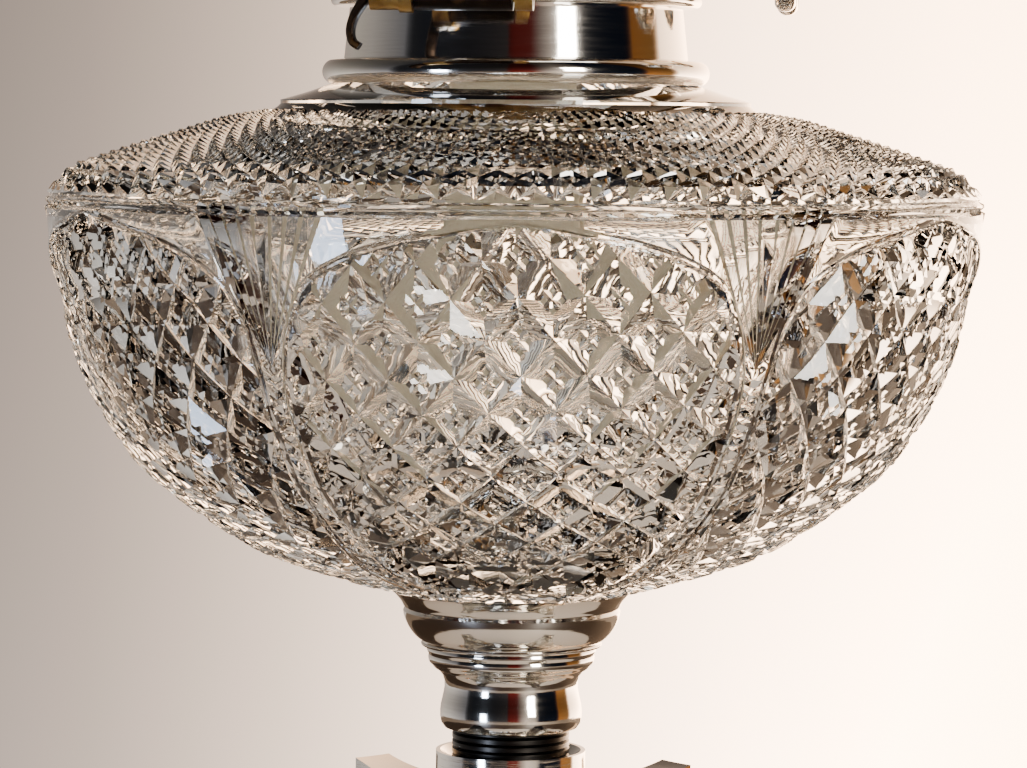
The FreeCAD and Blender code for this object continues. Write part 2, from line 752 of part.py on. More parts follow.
def knob(side):
    # a dished disc with a milled edge
    half = knob_width / 2
    mid_x = knob_reach
    r = knob_radius
    edges = [
        line((0, -half), (r * 0.45, -half)),
        arc((r * 0.45, -half), (r * 0.62, -half * 0.35), (r * 0.84, -half * 0.7)),
        arc((r * 0.84, -half * 0.7), (r, 0), (r * 0.84, half * 0.7)),
        arc((r * 0.84, half * 0.7), (r * 0.62, half * 0.45), (r * 0.4, half)),
        line((r * 0.4, half), (0, half)),
        line((0, half), (0, -half))]
    disc = turned_edges(edges)
    nicks = [Part.makeCylinder(0.42, knob_width, V(r + 0.1, 0, -half))]
    disc = disc.cut(Part.makeCompound(around(nicks[0], 36)))
    disc.rotate(V(0, 0, 0), V(0, 1, 0), 90)
    disc.translate(V(mid_x, side * spindle_y, spindle_z))
    return disc.cut(rod_x(spindle_radius, -60, mid_x + 1, side * spindle_y, spindle_z))


def lever_bracket():
    sleeve = rod_x(lever_sleeve_radius, -16.0, 3.0, lever_y, lever_z)
    foot = box(10.0, -drum_radius - 1.0 - lever_y, 2.0, drum_bottom, -7.0,
               (lever_y - drum_radius - 1.0) / 2)
    web = side_block(-12.0, -2.0, [(lever_y, lever_z), (lever_y + 1.5, drum_bottom + 2.0),
                                   (-flange_radius + 1.0, drum_bottom + 2.0),
                                   (-flange_radius + 1.0, drum_bottom)])
    bore = rod_x(lever_shaft_radius + run_fit, -60, 60, lever_y, lever_z)
    return joined([sleeve, foot, web]).cut(bore)


def side_block(x0, x1, points):
    # a flat outline in the Y-Z plane, from x0 to x1
    wire = Part.makePolygon([V(x0, y, z) for y, z in points + points[:1]])
    return Part.Face(wire).extrude(V(x1 - x0, 0, 0))


def lever():
    shaft = rod_x(lever_shaft_radius, -24.5, crank_x + 1.7, lever_y, lever_z)
    boss = rod_x(lever_sleeve_radius, -24.5, -18.8, lever_y, lever_z)
    collar = rod_x(lever_sleeve_radius + 0.5, -18.8, -16.0 - move_gap, lever_y, lever_z)
    tip_top = sleeve_bottom - move_gap
    tip_y = -sleeve_half_y - wick_middle - tongue_reach + 3.0
    crank = side_block(crank_x - 1.7, crank_x + 1.7, [
        (lever_y - 2.4, lever_z), (lever_y + 3.6, tip_top - 2.6), (-drum_radius, tip_top - 1.4),
        (tip_y + 4.0, tip_top - 2.4), (tip_y + 4.0, tip_top), (-drum_radius, tip_top),
        (lever_y + 2.0, tip_top), (lever_y - 3.0, lever_z + 3.0)])
    eye = rod_x(lever_sleeve_radius, crank_x - 1.7, crank_x + 1.7, lever_y, lever_z)
    return [joined([shaft, boss, collar, crank, eye])]


def thumb_piece():
    # a flat bar that hangs from the lever's left end and curls forward
    bar = Part.Face(Part.Wire([
        Part.Arc(V(-27.5, lever_y + 2.0, lever_z + 3.2), V(-27.5, lever_y - 1.4, lever_z - 5.5),
                 V(-27.5, lever_y + 1.6, lever_z - 12.0)).toShape(),
        Part.makeLine(V(-27.5, lever_y + 1.6, lever_z - 12.0),
                      V(-27.5, lever_y + 3.4, lever_z - 11.2)),
        Part.Arc(V(-27.5, lever_y + 3.4, lever_z - 11.2), V(-27.5, lever_y + 0.8, lever_z - 5.2),
                 V(-27.5, lever_y + 3.8, lever_z + 3.2)).toShape(),
        Part.makeLine(V(-27.5, lever_y + 3.8, lever_z + 3.2),
                      V(-27.5, lever_y + 2.0, lever_z + 3.2))]))
    hub = rod_x(lever_sleeve_radius + 0.6, -27.5, -24.5, lever_y, lever_z)
    return joined([bar.extrude(V(3.0, 0, 0)), hub])


def snuffer():
    # one sleeve round each wick tube, joined by end plates, with a tongue for the crank
    parts = []
    height = sleeve_length
    for side in (-1, 1):
        y = side * wick_middle
        outer = box(2 * sleeve_half_x, 2 * sleeve_half_y, height, sleeve_bottom, 0, y)
        inner = box(2 * sleeve_half_x - 2 * sleeve_wall, 2 * sleeve_half_y - 2 * sleeve_wall,
                    height + 2, sleeve_bottom - 1, 0, y)
        parts.append(outer.cut(inner))
    span = 2 * (wick_middle + sleeve_half_y)
    for end in (-1, 1):
        parts.append(box(1.2, span, 4.0, sleeve_bottom, end * (sleeve_half_x + 0.6)))
    front = -wick_middle - sleeve_half_y
    parts.append(box(6.0, tongue_reach, 1.4, sleeve_bottom, crank_x, front - tongue_reach / 2))
    return joined(parts)


def gallery():
    plate = tube(chimney_base_radius + 3.2, drum_radius - 5.0, plate_thickness, drum_top)
    prong_inner = chimney_base_radius + move_gap
    low = gallery_level - 0.2
    bend = gallery_level + gallery_height * 0.4
    knee = gallery_level + gallery_height * 0.78
    top = gallery_level + gallery_height
    edges = [line((prong_inner, low), (prong_inner + 1.0, low)),
             line((prong_inner + 1.0, low), (prong_inner + 1.0, bend)),
             arc((prong_inner + 1.0, bend), (prong_inner + 3.2, knee), (gallery_radius, top)),
             line((gallery_radius, top), (gallery_radius - 1.0, top)),
             arc((gallery_radius - 1.0, top), (prong_inner + 2.2, knee), (prong_inner, bend)),
             line((prong_inner, bend), (prong_inner, low))]
    prong = turned_edges(edges)
    width = 360.0 / prong_count
    gap = sector(gallery_radius + 5, width * 0.22, gallery_height + 5, gallery_level + 1.0)
    prong = prong.cut(Part.makeCompound(around(gap, prong_count)))
    return joined([plate, prong])


def quarter_ellipse(radius, low, height):
    # from the rim at (radius, low) up to the axis
    ellipse = Part.Ellipse(V(radius, 0, low), V(0, 0, low + height), V(0, 0, low))
    return Part.ArcOfEllipse(ellipse, 0, math.pi / 2).toShape()


def dome():
    # a thin cap with a slot over each wick
    low = gallery_level
    wall = 0.8
    shoulder = dome_radius - 2.0
    shell = turned_edges([
        line((shoulder - wall, low), (dome_radius, low)),
        line((dome_radius, low), (dome_radius, low + wall)),
        line((dome_radius, low + wall), (shoulder, low + wall)),
        quarter_ellipse(shoulder, low + wall, dome_height - wall),
        line((0, low + dome_height), (0, low + dome_height - wall)),
        quarter_ellipse(shoulder - wall, low, dome_height - wall)])
    slots = [box(2 * (sleeve_half_x + 0.5), 2 * (sleeve_half_y + 0.5), 60, low - 5, 0,
                 side * wick_middle) for side in (-1, 1)]
    return shell.cut(Part.makeCompound(slots))


def chimney():
    low = gallery_level + move_gap
    top = low + chimney_height
    base, bulge, neck = chimney_base_radius, chimney_bulge_radius, chimney_top_radius
    outer = [(base, low + 20), (bulge, low + 46), (neck + 7.5, low + 82), (neck + 1.2, low + 122),
             (neck, low + 158)]
    wall = chimney_wall
    inner = [(r - wall, z) for r, z in outer]
    edges = [
        line((base - wall, low), (base, low)),
        line((base, low), outer[0]),
        spline(outer),
        line(outer[-1], (neck, top)),
        line((neck, top), (neck - wall, top)),
        line((neck - wall, top), inner[-1]),
        spline(inner[::-1]),
        line(inner[0], (base - wall, low))]
    return turned_edges(edges)


def wick(side):
    low = flange_level - wick_tail
    height = wick_tail + tube_top + wick_show
    return box(wick_width, wick_thickness, height, low, 0, side * wick_middle)


def make_burner():
    save("burner_flange", burner_flange())
    save("burner_drum", burner_drum())
    save("tube_plate", tube_plate())
    save("spindle_bushes", spindle_bushes())
    save("lever_bracket", lever_bracket())
    save("chimney_gallery", gallery())
    save("flame_dome", dome())
    save("snuffer_lever", lever())
    save("thumb_piece", thumb_piece())
    save("snuffer_sleeves", snuffer())
    save("chimney", chimney())
    for name, side in (("front", -1), ("rear", 1)):
        save("wick_tube_" + name, wick_tube(side))
        save("wick_" + name, wick(side))
        save("spindle_" + name, spindle(side))
        save("spurs_" + name, spurs(side))
        save("knob_" + name, knob(side))


make_stand()
make_capital()
make_font()
make_burner()
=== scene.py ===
import json
import math
import bpy
import bmesh
import numpy as np
from mathutils import Euler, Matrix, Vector
from mathutils.geometry import delaunay_2d_cdt


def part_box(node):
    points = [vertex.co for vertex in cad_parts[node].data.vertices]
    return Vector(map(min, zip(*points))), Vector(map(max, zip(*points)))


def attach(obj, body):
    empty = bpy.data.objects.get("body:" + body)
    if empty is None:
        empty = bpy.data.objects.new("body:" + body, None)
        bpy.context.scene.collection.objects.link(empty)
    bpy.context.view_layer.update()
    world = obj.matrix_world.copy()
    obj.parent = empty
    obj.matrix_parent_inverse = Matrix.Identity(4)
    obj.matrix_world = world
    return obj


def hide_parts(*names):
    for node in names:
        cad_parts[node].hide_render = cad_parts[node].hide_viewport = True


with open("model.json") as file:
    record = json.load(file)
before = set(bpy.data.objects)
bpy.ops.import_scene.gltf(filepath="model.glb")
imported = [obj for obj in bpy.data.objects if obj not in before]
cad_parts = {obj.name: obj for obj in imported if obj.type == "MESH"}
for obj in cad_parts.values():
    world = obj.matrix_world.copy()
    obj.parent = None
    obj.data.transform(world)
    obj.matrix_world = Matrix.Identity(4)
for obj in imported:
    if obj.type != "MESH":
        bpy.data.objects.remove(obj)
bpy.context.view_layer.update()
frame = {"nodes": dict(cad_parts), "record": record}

scene = bpy.context.scene
mm = 0.001
print("frame loaded")


def linear(hexColour):
    # sRGB hex to the linear colour that shaders use
    parts = [int(hexColour[i:i + 2], 16) / 255 for i in (1, 3, 5)]
    return tuple(c / 12.92 if c <= 0.04045 else ((c + 0.055) / 1.055) ** 2.4 for c in parts) + (1.0,)


def addNode(tree, kind, links=None, **settings):
    # one node: settings are attributes, links fill its inputs with sockets or values
    node = tree.nodes.new(kind)
    for name, value in settings.items():
        setattr(node, name, value)
    for key, value in (links or {}).items():
        socket = node.inputs[key]
        if isinstance(value, bpy.types.NodeSocket):
            tree.links.new(value, socket)
        else:
            socket.default_value = value
    return node


def newMaterial(name):
    material = bpy.data.materials.new(name)
    material.use_nodes = True
    tree = material.node_tree
    tree.nodes.clear()
    return material, tree


def newObject(name, mesh, material):
    thing = bpy.data.objects.new(name, mesh)
    scene.collection.objects.link(thing)
    if material is not None:
        mesh.materials.clear()
        mesh.materials.append(material)
    return thing


def meshFrom(name, points, faces):
    mesh = bpy.data.meshes.new(name)
    mesh.from_pydata([tuple(p) for p in points], [], [tuple(f) for f in faces])
    mesh.update()
    return mesh


# Cut lead glass font. One sixth of it is worked out here as facets, and the copies come later.
# Angles are in degrees from the middle of a panel, heights and widths in mm.
bowl = {
    "panels": 6,
    "turn": -85.0,             # where the middle of the first panel faces, from +X
    "outline": [(24.6, 0.0), (31.2, 1.7), (43.3, 5.4), (52.5, 8.9), (60.9, 14.0), (67.7, 18.8),
                (75.9, 25.7), (80.8, 32.3), (85.7, 40.5), (89.6, 50.2), (91.7, 60.2), (93.9, 67.7),
                (94.9, 76.6), (94.6, 79.6)],
    "latticeWide": 12.5,
    "latticeTall": 15.0,
    "latticeLean": 2.5,
    "latticeFoot": 77.7,       # height of the first crossing on the panel's middle line
    "latticeReach": 75.0,      # how far the pattern's lines run from the first crossing
    "grooveShare": 0.235,      # half width of a mitre cut, as a share of a diamond
    "grooveDepth": 2.1,
    "smallCuts": 2,            # small squares along each side of a diamond's crown
    "smallShare": 0.3,         # half width of the fine cuts, as a share of a small square
    "smallDepth": 0.6,
    "petal": [(0.0, 77.3), (4.0, 76.5), (8.1, 75.0), (12.9, 73.7), (18.3, 71.1), (22.3, 67.9),
              (24.6, 65.2), (27.2, 56.5), (28.2, 47.5), (28.3, 35.0), (28.2, 21.5), (27.4, 13.5),
              (26.6, 6.0), (26.0, 0.0)],
    "ribOffsets": [-0.95, -0.75, -0.4, 0.0, 0.4, 0.85],
    "ribHeights": [-0.9, -0.55, -0.14, 0.0, -0.14, -0.5],
    "plain": -0.5,             # level of the polished glass beside the ribs
    "ringCut": [(0.6, 0.0), (1.2, -0.9), (1.8, 0.0)],    # distance below the top edge, and level
    "fanFoot": 49.5,           # height where the fan's rays meet
    "fanRays": 8,
    "fanSlope": 0.42,          # cut depth as a share of the ray spacing
    "topSteps": 56,            # facets along a panel's top, its foot, and a fan's side
    "footSteps": 28,
    "fanSteps": 12,
    "fill": {"top": 2.0, "reach": 48.0, "pitch": 3.2, "ribGap": 2.2, "sideGap": 1.2},
    "bandPitch": 3.1,          # small notches between two neighbouring ribs
    "bandDepth": 0.9,
    "spirals": 84,             # small diamonds round the shoulder
    "shoulderRows": 24,        # half diamonds from the neck to the rim
    "shoulderCut": 0.25,       # depth as a share of a diamond's width
    "shoulder": [(49.5, 97.8), (57.9, 96.5), (62.9, 95.1), (67.9, 93.5), (75.9, 91.0), (83.9, 88.3),
                 (88.8, 86.6), (91.3, 84.8), (93.0, 82.7)],
    "rim": [(94.2, 81.3, -0.15), (94.5, 80.7, -0.15), (94.5, 80.15, -1.2)],
    "neck": [(48.2, 98.1), (47.6, 98.7), (47.6, 99.5), (43.1, 100.8), (37.0, 102.85),
             (31.0, 102.85), (31.0, 107.4), (27.4, 107.4), (27.4, 98.0)],
    "lining": [(27.4, 98.0), (30.0, 95.0), (51.6, 92.8), (64.6, 90.2), (76.0, 88.0), (84.0, 85.2),
               (87.4, 79.0), (87.0, 67.1), (80.5, 49.4), (69.3, 33.6), (47.5, 18.8), (20.0, 9.2),
               (4.0, 8.1)],
    "liningSteps": 34,
    "peg": [(9.0, 0.0), (9.0, -10.4)],
}


def curveThrough(points, steps):
    # a smooth curve through the points, and the distance along it
    p = np.array(points)
    ends = np.vstack([2 * p[0] - p[1], p, 2 * p[-1] - p[-2]])
    t = np.linspace(0, 1, steps, endpoint=False)[:, None]
    pieces = [0.5 * (2 * b + (c - a) * t + (2 * a - 5 * b + 4 * c - d) * t ** 2
                     + (3 * b - a - 3 * c + d) * t ** 3)
              for a, b, c, d in zip(ends, ends[1:], ends[2:], ends[3:])]
    path = np.vstack(pieces + [p[-1:]])
    return path, np.concatenate([[0], np.cumsum(np.linalg.norm(np.diff(path, axis=0), axis=1))])


class BowlShape:
    # the outline as a smooth curve, by distance along it from the top
    def __init__(self, outline):
        self.path, self.along = curveThrough(outline[::-1], 24)
        self.length = self.along[-1]

    def radius(self, v):
        return np.interp(v, self.along, self.path[:, 0])

    def height(self, v):
        return np.interp(v, self.along, self.path[:, 1])

    def place(self, v, angle, lift):
        # angle in radians, lift along the outward normal
        r, z = self.radius(v), self.height(v)
        dr = self.radius(v + 0.6) - self.radius(v - 0.6)
        dz = self.height(v + 0.6) - self.height(v - 0.6)
        size = np.hypot(dr, dz) + 1e-12
        r = r - lift * dz / size
        z = z + lift * dr / size
        return np.stack([r * np.cos(angle), r * np.sin(angle), z], axis=-1)

    def atHeight(self, h):
        return np.interp(-h, -self.path[:, 1], self.along)


def distanceTo(points, line):
    # signed distance from points to a closed line, positive outside
    a, b = line, np.roll(line, -1, axis=0)
    best = np.full(len(points), 1e9)
    inside = np.zeros(len(points), bool)
    for p, q in zip(a, b):
        d = q - p
        t = np.clip(((points - p) @ d) / max(d @ d, 1e-12), 0, 1)
        best = np.minimum(best, np.linalg.norm(points - p - t[:, None] * d, axis=1))
        crosses = (p[1] > points[:, 1]) != (q[1] > points[:, 1])
        with np.errstate(divide="ignore", invalid="ignore"):
            x = (q[0] - p[0]) * (points[:, 1] - p[1]) / (q[1] - p[1]) + p[0]
        inside ^= crosses & (points[:, 0] < x)
    return np.where(inside, -best, best)


def pushed(line, offset):
    # a closed line moved outwards by offset
    ahead = np.roll(line, -1, axis=0) - np.roll(line, 1, axis=0)
    normal = np.stack([ahead[:, 1], -ahead[:, 0]], axis=1)
    normal /= np.linalg.norm(normal, axis=1)[:, None] + 1e-12
    return line + offset * normal


def clipped(p, q, line):
    # the stretches of p-q that lie inside a closed line
    d = q - p
    cuts = [0.0, 1.0]
    for a, b in zip(line, np.roll(line, -1, axis=0)):
        e = b - a
        cross = d[0] * e[1] - d[1] * e[0]
        if abs(cross) < 1e-12:
            continue
        t = ((a[0] - p[0]) * e[1] - (a[1] - p[1]) * e[0]) / cross
        s = ((a[0] - p[0]) * d[1] - (a[1] - p[1]) * d[0]) / cross
        if 0 <= s <= 1 and 0 < t < 1:
            cuts.append(t)
    cuts.sort()
    middles = np.array([p + d * (a + b) / 2 for a, b in zip(cuts, cuts[1:])])
    keep = distanceTo(middles, line) < 0
    return [(p + d * a, p + d * b) for a, b, k in zip(cuts, cuts[1:], keep) if k and b - a > 1e-6]


patternTop = BowlShape(bowl["outline"]).atHeight(bowl["latticeFoot"])


def sectorEdge(shape, v):
    return shape.radius(v) * math.pi / bowl["panels"]


def petalLine(shape):
    # the panel's outline in (distance round, distance down), as a closed loop of short steps
    angles = np.array([a for a, h in bowl["petal"]])
    heights = np.array([h for a, h in bowl["petal"]])
    spread = np.concatenate([[0], np.cumsum(np.hypot(np.diff(angles) * 1.5, np.diff(heights)))])
    dense = np.linspace(0, spread[-1], 90)
    angle = np.radians(np.interp(dense, spread, angles))
    v = shape.atHeight(np.interp(dense, spread, heights))
    right = np.stack([angle * shape.radius(v), v], axis=1)
    for _ in range(3):
        right[1:-1] = (right[:-2] + 2 * right[1:-1] + right[2:]) / 4
    left = right[::-1].copy()
    left[:, 0] *= -1
    return np.vstack([right, left[:-1]])[::-1]


def latticeHeight(points):
    # mitre cuts round raised crowns, each crown cut again into small pyramids
    lean = math.radians(bowl["latticeLean"])
    u = points[:, 0] * math.cos(lean) - (points[:, 1] - patternTop) * math.sin(lean)
    v = points[:, 0] * math.sin(lean) + (points[:, 1] - patternTop) * math.cos(lean)
    share, deep, small = bowl["grooveShare"], bowl["grooveDepth"], bowl["smallDepth"]
    result = np.zeros(len(points))
    inCrown = np.ones(len(points), bool)
    crown = np.zeros(len(points))
    for sign in (1, -1):
        part = (u / bowl["latticeWide"] + sign * v / bowl["latticeTall"]) % 1.0
        near = np.minimum(part, 1 - part)
        bevel = np.clip(1 - near / share, 0, 1)
        result = np.minimum(result, -small - (deep - small) * bevel)
        inCrown &= near > share - 1e-7
        fine = (part - share) / (1 - 2 * share) * bowl["smallCuts"]
        nearFine = np.abs(fine - np.round(fine))
        crown = np.maximum(crown, np.clip(1 - nearFine / bowl["smallShare"], 0, 1))
    return np.where(inCrown, -small * np.minimum(crown, 1), result)


def latticeLines(reach):
    # every crease of the pattern as a straight line
    lean = math.radians(bowl["latticeLean"])
    wide, tall, share, cuts = (bowl["latticeWide"], bowl["latticeTall"], bowl["grooveShare"],
                               bowl["smallCuts"])
    fine = bowl["smallShare"]
    places = sorted({k + d for k in range(cuts + 1) for d in (-fine, 0.0, fine)
                     if 0 <= k + d <= cuts})
    marks = [0.0] + [share + (1 - 2 * share) * k / cuts for k in places]
    span = int(reach / min(wide, tall)) + 3
    lines = []

    def back(a, b):
        # from lattice numbers to (u, v)
        u, v = (a + b) / 2 * wide, (a - b) / 2 * tall
        x = u * math.cos(lean) + v * math.sin(lean)
        y = -u * math.sin(lean) + v * math.cos(lean)
        return np.array([x, y + patternTop])

    for i in range(-span, span + 1):
        for mark in marks:
            lines.append((back(i + mark, -span), back(i + mark, span)))
            lines.append((back(-span, i + mark), back(span, i + mark)))
        for j in range(-span, span + 1):
            # hips of the mitre cuts and of the small pyramids
            for a0, b0, a1, b1 in ((0, 0, share, share), (1, 0, 1 - share, share),
                                   (0, 1, share, 1 - share), (1, 1, 1 - share, 1 - share)):
                lines.append((back(i + a0, j + b0), back(i + a1, j + b1)))
            step = (1 - 2 * share) / cuts
            reach2 = step * fine
            for k in range(cuts + 1):
                for m in range(cuts + 1):
                    a, b = i + share + k * step, j + share + m * step
                    for da in (-reach2, reach2):
                        for db in (-reach2, reach2):
                            if 0 <= k * step + da <= cuts * step and 0 <= m * step + db <= cuts * step:
                                lines.append((back(a, b), back(a + da, b + db)))
    return lines


def patternEdges(line):
    # the pattern's creases, cut off at the panel's edge
    lines = latticeLines(bowl["latticeReach"])
    ends = np.array(lines)
    size = np.linalg.norm(ends[:, 1] - ends[:, 0], axis=1)
    a, b = distanceTo(ends[:, 0], line), distanceTo(ends[:, 1], line)
    longest = 12.0             # a crease inside one diamond is shorter than this
    kept = []
    for k, (p, q) in enumerate(ends):
        if size[k] < longest and a[k] < -size[k] and b[k] < 0:
            kept.append((p, q))
        elif size[k] >= longest or min(a[k], b[k]) < size[k]:
            kept += clipped(p, q, line)
    return kept


def fanLevel(shape, u, v):
    # level of the fan's zigzag, or nothing outside the fan
    foot = shape.atHeight(bowl["fanFoot"])
    step = math.radians(360 / bowl["panels"] / bowl["topSteps"]) * shape.radius(0)
    rise = (foot - v) / foot
    chord = sectorEdge(shape, foot) * (1 - rise) + sectorEdge(shape, 0) * rise
    place = np.maximum((chord - np.abs(u)) / np.maximum(rise * step, 1e-6), 0)
    rays = bowl["fanRays"]
    levels = [-0.1 if i % 2 == 0 else -bowl["fanSlope"] * 2 * step for i in range(rays)]
    levels.append(bowl["plain"])
    level = np.interp(place, np.arange(rays + 1), levels) * rise + bowl["plain"] * (1 - rise)
    return np.where((rise > 1e-6) & (place <= rays + 1e-6), level, np.nan)


def bodyFacets(shape):
    # points, heights and triangles of one panel with half a fan on each side
    panelHalf = 180 / bowl["panels"]
    half, footHalf = bowl["topSteps"] // 2, bowl["footSteps"] // 2
    fill = bowl["fill"]
    end = shape.length
    foot = shape.atHeight(bowl["fanFoot"])
    notch = bowl["bandPitch"] / 2
    ringV = [v for v, level in bowl["ringCut"]]
    sideV = sorted(list(np.linspace(0, foot, bowl["fanSteps"] + 1)[1:]) + ringV)
    while sideV[-1] + notch < end - 0.5:
        sideV.append(sideV[-1] + notch)
    sideV = np.array(sideV)
    topU = np.array([math.radians(panelHalf * i / half) * shape.radius(0)
                     for i in range(-half, half + 1)])
    top = [(u, 0.0) for u in topU]
    right = [(sectorEdge(shape, v), v) for v in sideV]
    bottom = [(math.radians(panelHalf * i / footHalf) * shape.radius(end), end)
              for i in range(footHalf, -footHalf - 1, -1)]
    left = [(-u, v) for u, v in right[::-1]]
    domain = np.array(top + right + bottom + left)
    outline = petalLine(shape)
    loops = [pushed(outline, d) for d in bowl["ribOffsets"]]
    segments = [(p, q) for p, q in zip(domain, np.roll(domain, -1, axis=0))]
    for v in ringV:
        reach = sectorEdge(shape, v) - 0.05
        segments.append((np.array([-reach, v]), np.array([reach, v])))
    for loop in loops:
        for p, q in zip(loop, np.roll(loop, -1, axis=0)):
            segments += clipped(p, q, domain)
    inner = loops[0]
    for p, q in patternEdges(inner):
        segments += clipped(p, q, domain) if max(p[1], q[1]) > end - 1 else [(p, q)]
    apex = np.array([sectorEdge(shape, foot), foot])
    samples = 60
    outer = loops[-1]
    for q in range(1, bowl["fanRays"] + 1):
        tip = np.array([topU[-1 - q], 0.0])
        ray = np.array([apex + (tip - apex) * s for s in np.linspace(0, 1, samples)])
        touching = np.nonzero(distanceTo(ray, outer) < 0.05)[0]
        start = (touching.max() + 1) / (samples - 1) if len(touching) else 0.0
        begin = apex + (tip - apex) * start
        segments.append((begin, tip))
        segments.append((begin * (-1, 1), tip * (-1, 1)))
    points, edges = [], []
    for p, q in segments:
        points += [tuple(p), tuple(q)]
        edges.append((len(points) - 2, len(points) - 1))
    grid = np.array([(u, v) for v in np.arange(fill["top"], end, fill["pitch"])
                     for u in np.arange(-fill["reach"], fill["reach"] + 0.1, fill["pitch"])])
    spare = grid[(distanceTo(grid, pushed(outline, fill["ribGap"])) > 0)
                 & (np.abs(grid[:, 0]) < sectorEdge(shape, grid[:, 1]) - fill["sideGap"])
                 & np.isnan(fanLevel(shape, grid[:, 0], grid[:, 1]))]
    points += [tuple(p) for p in spare]
    out = delaunay_2d_cdt([Vector(p) for p in points], edges, [], 0, 1e-5, False)
    uv = np.array([tuple(p) for p in out[0]])
    faces = np.array([tuple(f) for f in out[2]])
    middle = uv[faces].mean(axis=1)
    inside = np.abs(middle[:, 0]) < sectorEdge(shape, middle[:, 1]) + 0.02
    onEdge = np.abs(np.abs(uv[:, 0]) - sectorEdge(shape, uv[:, 1])) < 1e-3
    flat = np.abs((np.sign(uv[:, 0]) * onEdge)[faces].sum(axis=1)) > 2.5
    faces = faces[inside & (distanceTo(middle, domain) < 1e-9) & ~flat]
    away = distanceTo(uv, outline)
    level = np.interp(away, bowl["ribOffsets"], bowl["ribHeights"])
    pattern = away < bowl["ribOffsets"][0] + 0.004
    level[pattern] = latticeHeight(uv[pattern])
    fan = fanLevel(shape, uv[:, 0], uv[:, 1])
    plain = away > bowl["ribOffsets"][-1] - 0.004
    level = np.where(plain & ~np.isnan(fan), fan, level)
    ring = np.interp(uv[:, 1], ringV, [cut for v, cut in bowl["ringCut"]])
    level = np.where(pattern, level, level + ring)
    below = onEdge & (uv[:, 1] > foot + 1e-3)
    turnIn = np.round((uv[:, 1] - foot) / notch).astype(int) % 2 == 1
    level = np.where(below, np.where(turnIn, -bowl["bandDepth"], -0.1), level)
    return uv, level, faces


def stitched(rowA, rowB, anglesA, anglesB):
    # triangles between two rows of vertices that run the same way
    i, j, faces = 0, 0, []
    while i < len(rowA) - 1 or j < len(rowB) - 1:
        stepA = anglesA[i + 1] if i < len(rowA) - 1 else 1e9
        stepB = anglesB[j + 1] if j < len(rowB) - 1 else 1e9
        if stepA <= stepB:
            faces.append((rowA[i], rowA[i + 1], rowB[j]))
            i += 1
        else:
            faces.append((rowA[i], rowB[j + 1], rowB[j]))
            j += 1
    return faces


def smoothLine(points, count):
    # evenly spread points on a smooth line through the given ones
    path, along = curveThrough(points, 12)
    even = np.linspace(0, along[-1], count)
    return np.stack([np.interp(even, along, path[:, 0]), np.interp(even, along, path[:, 1])], axis=1)


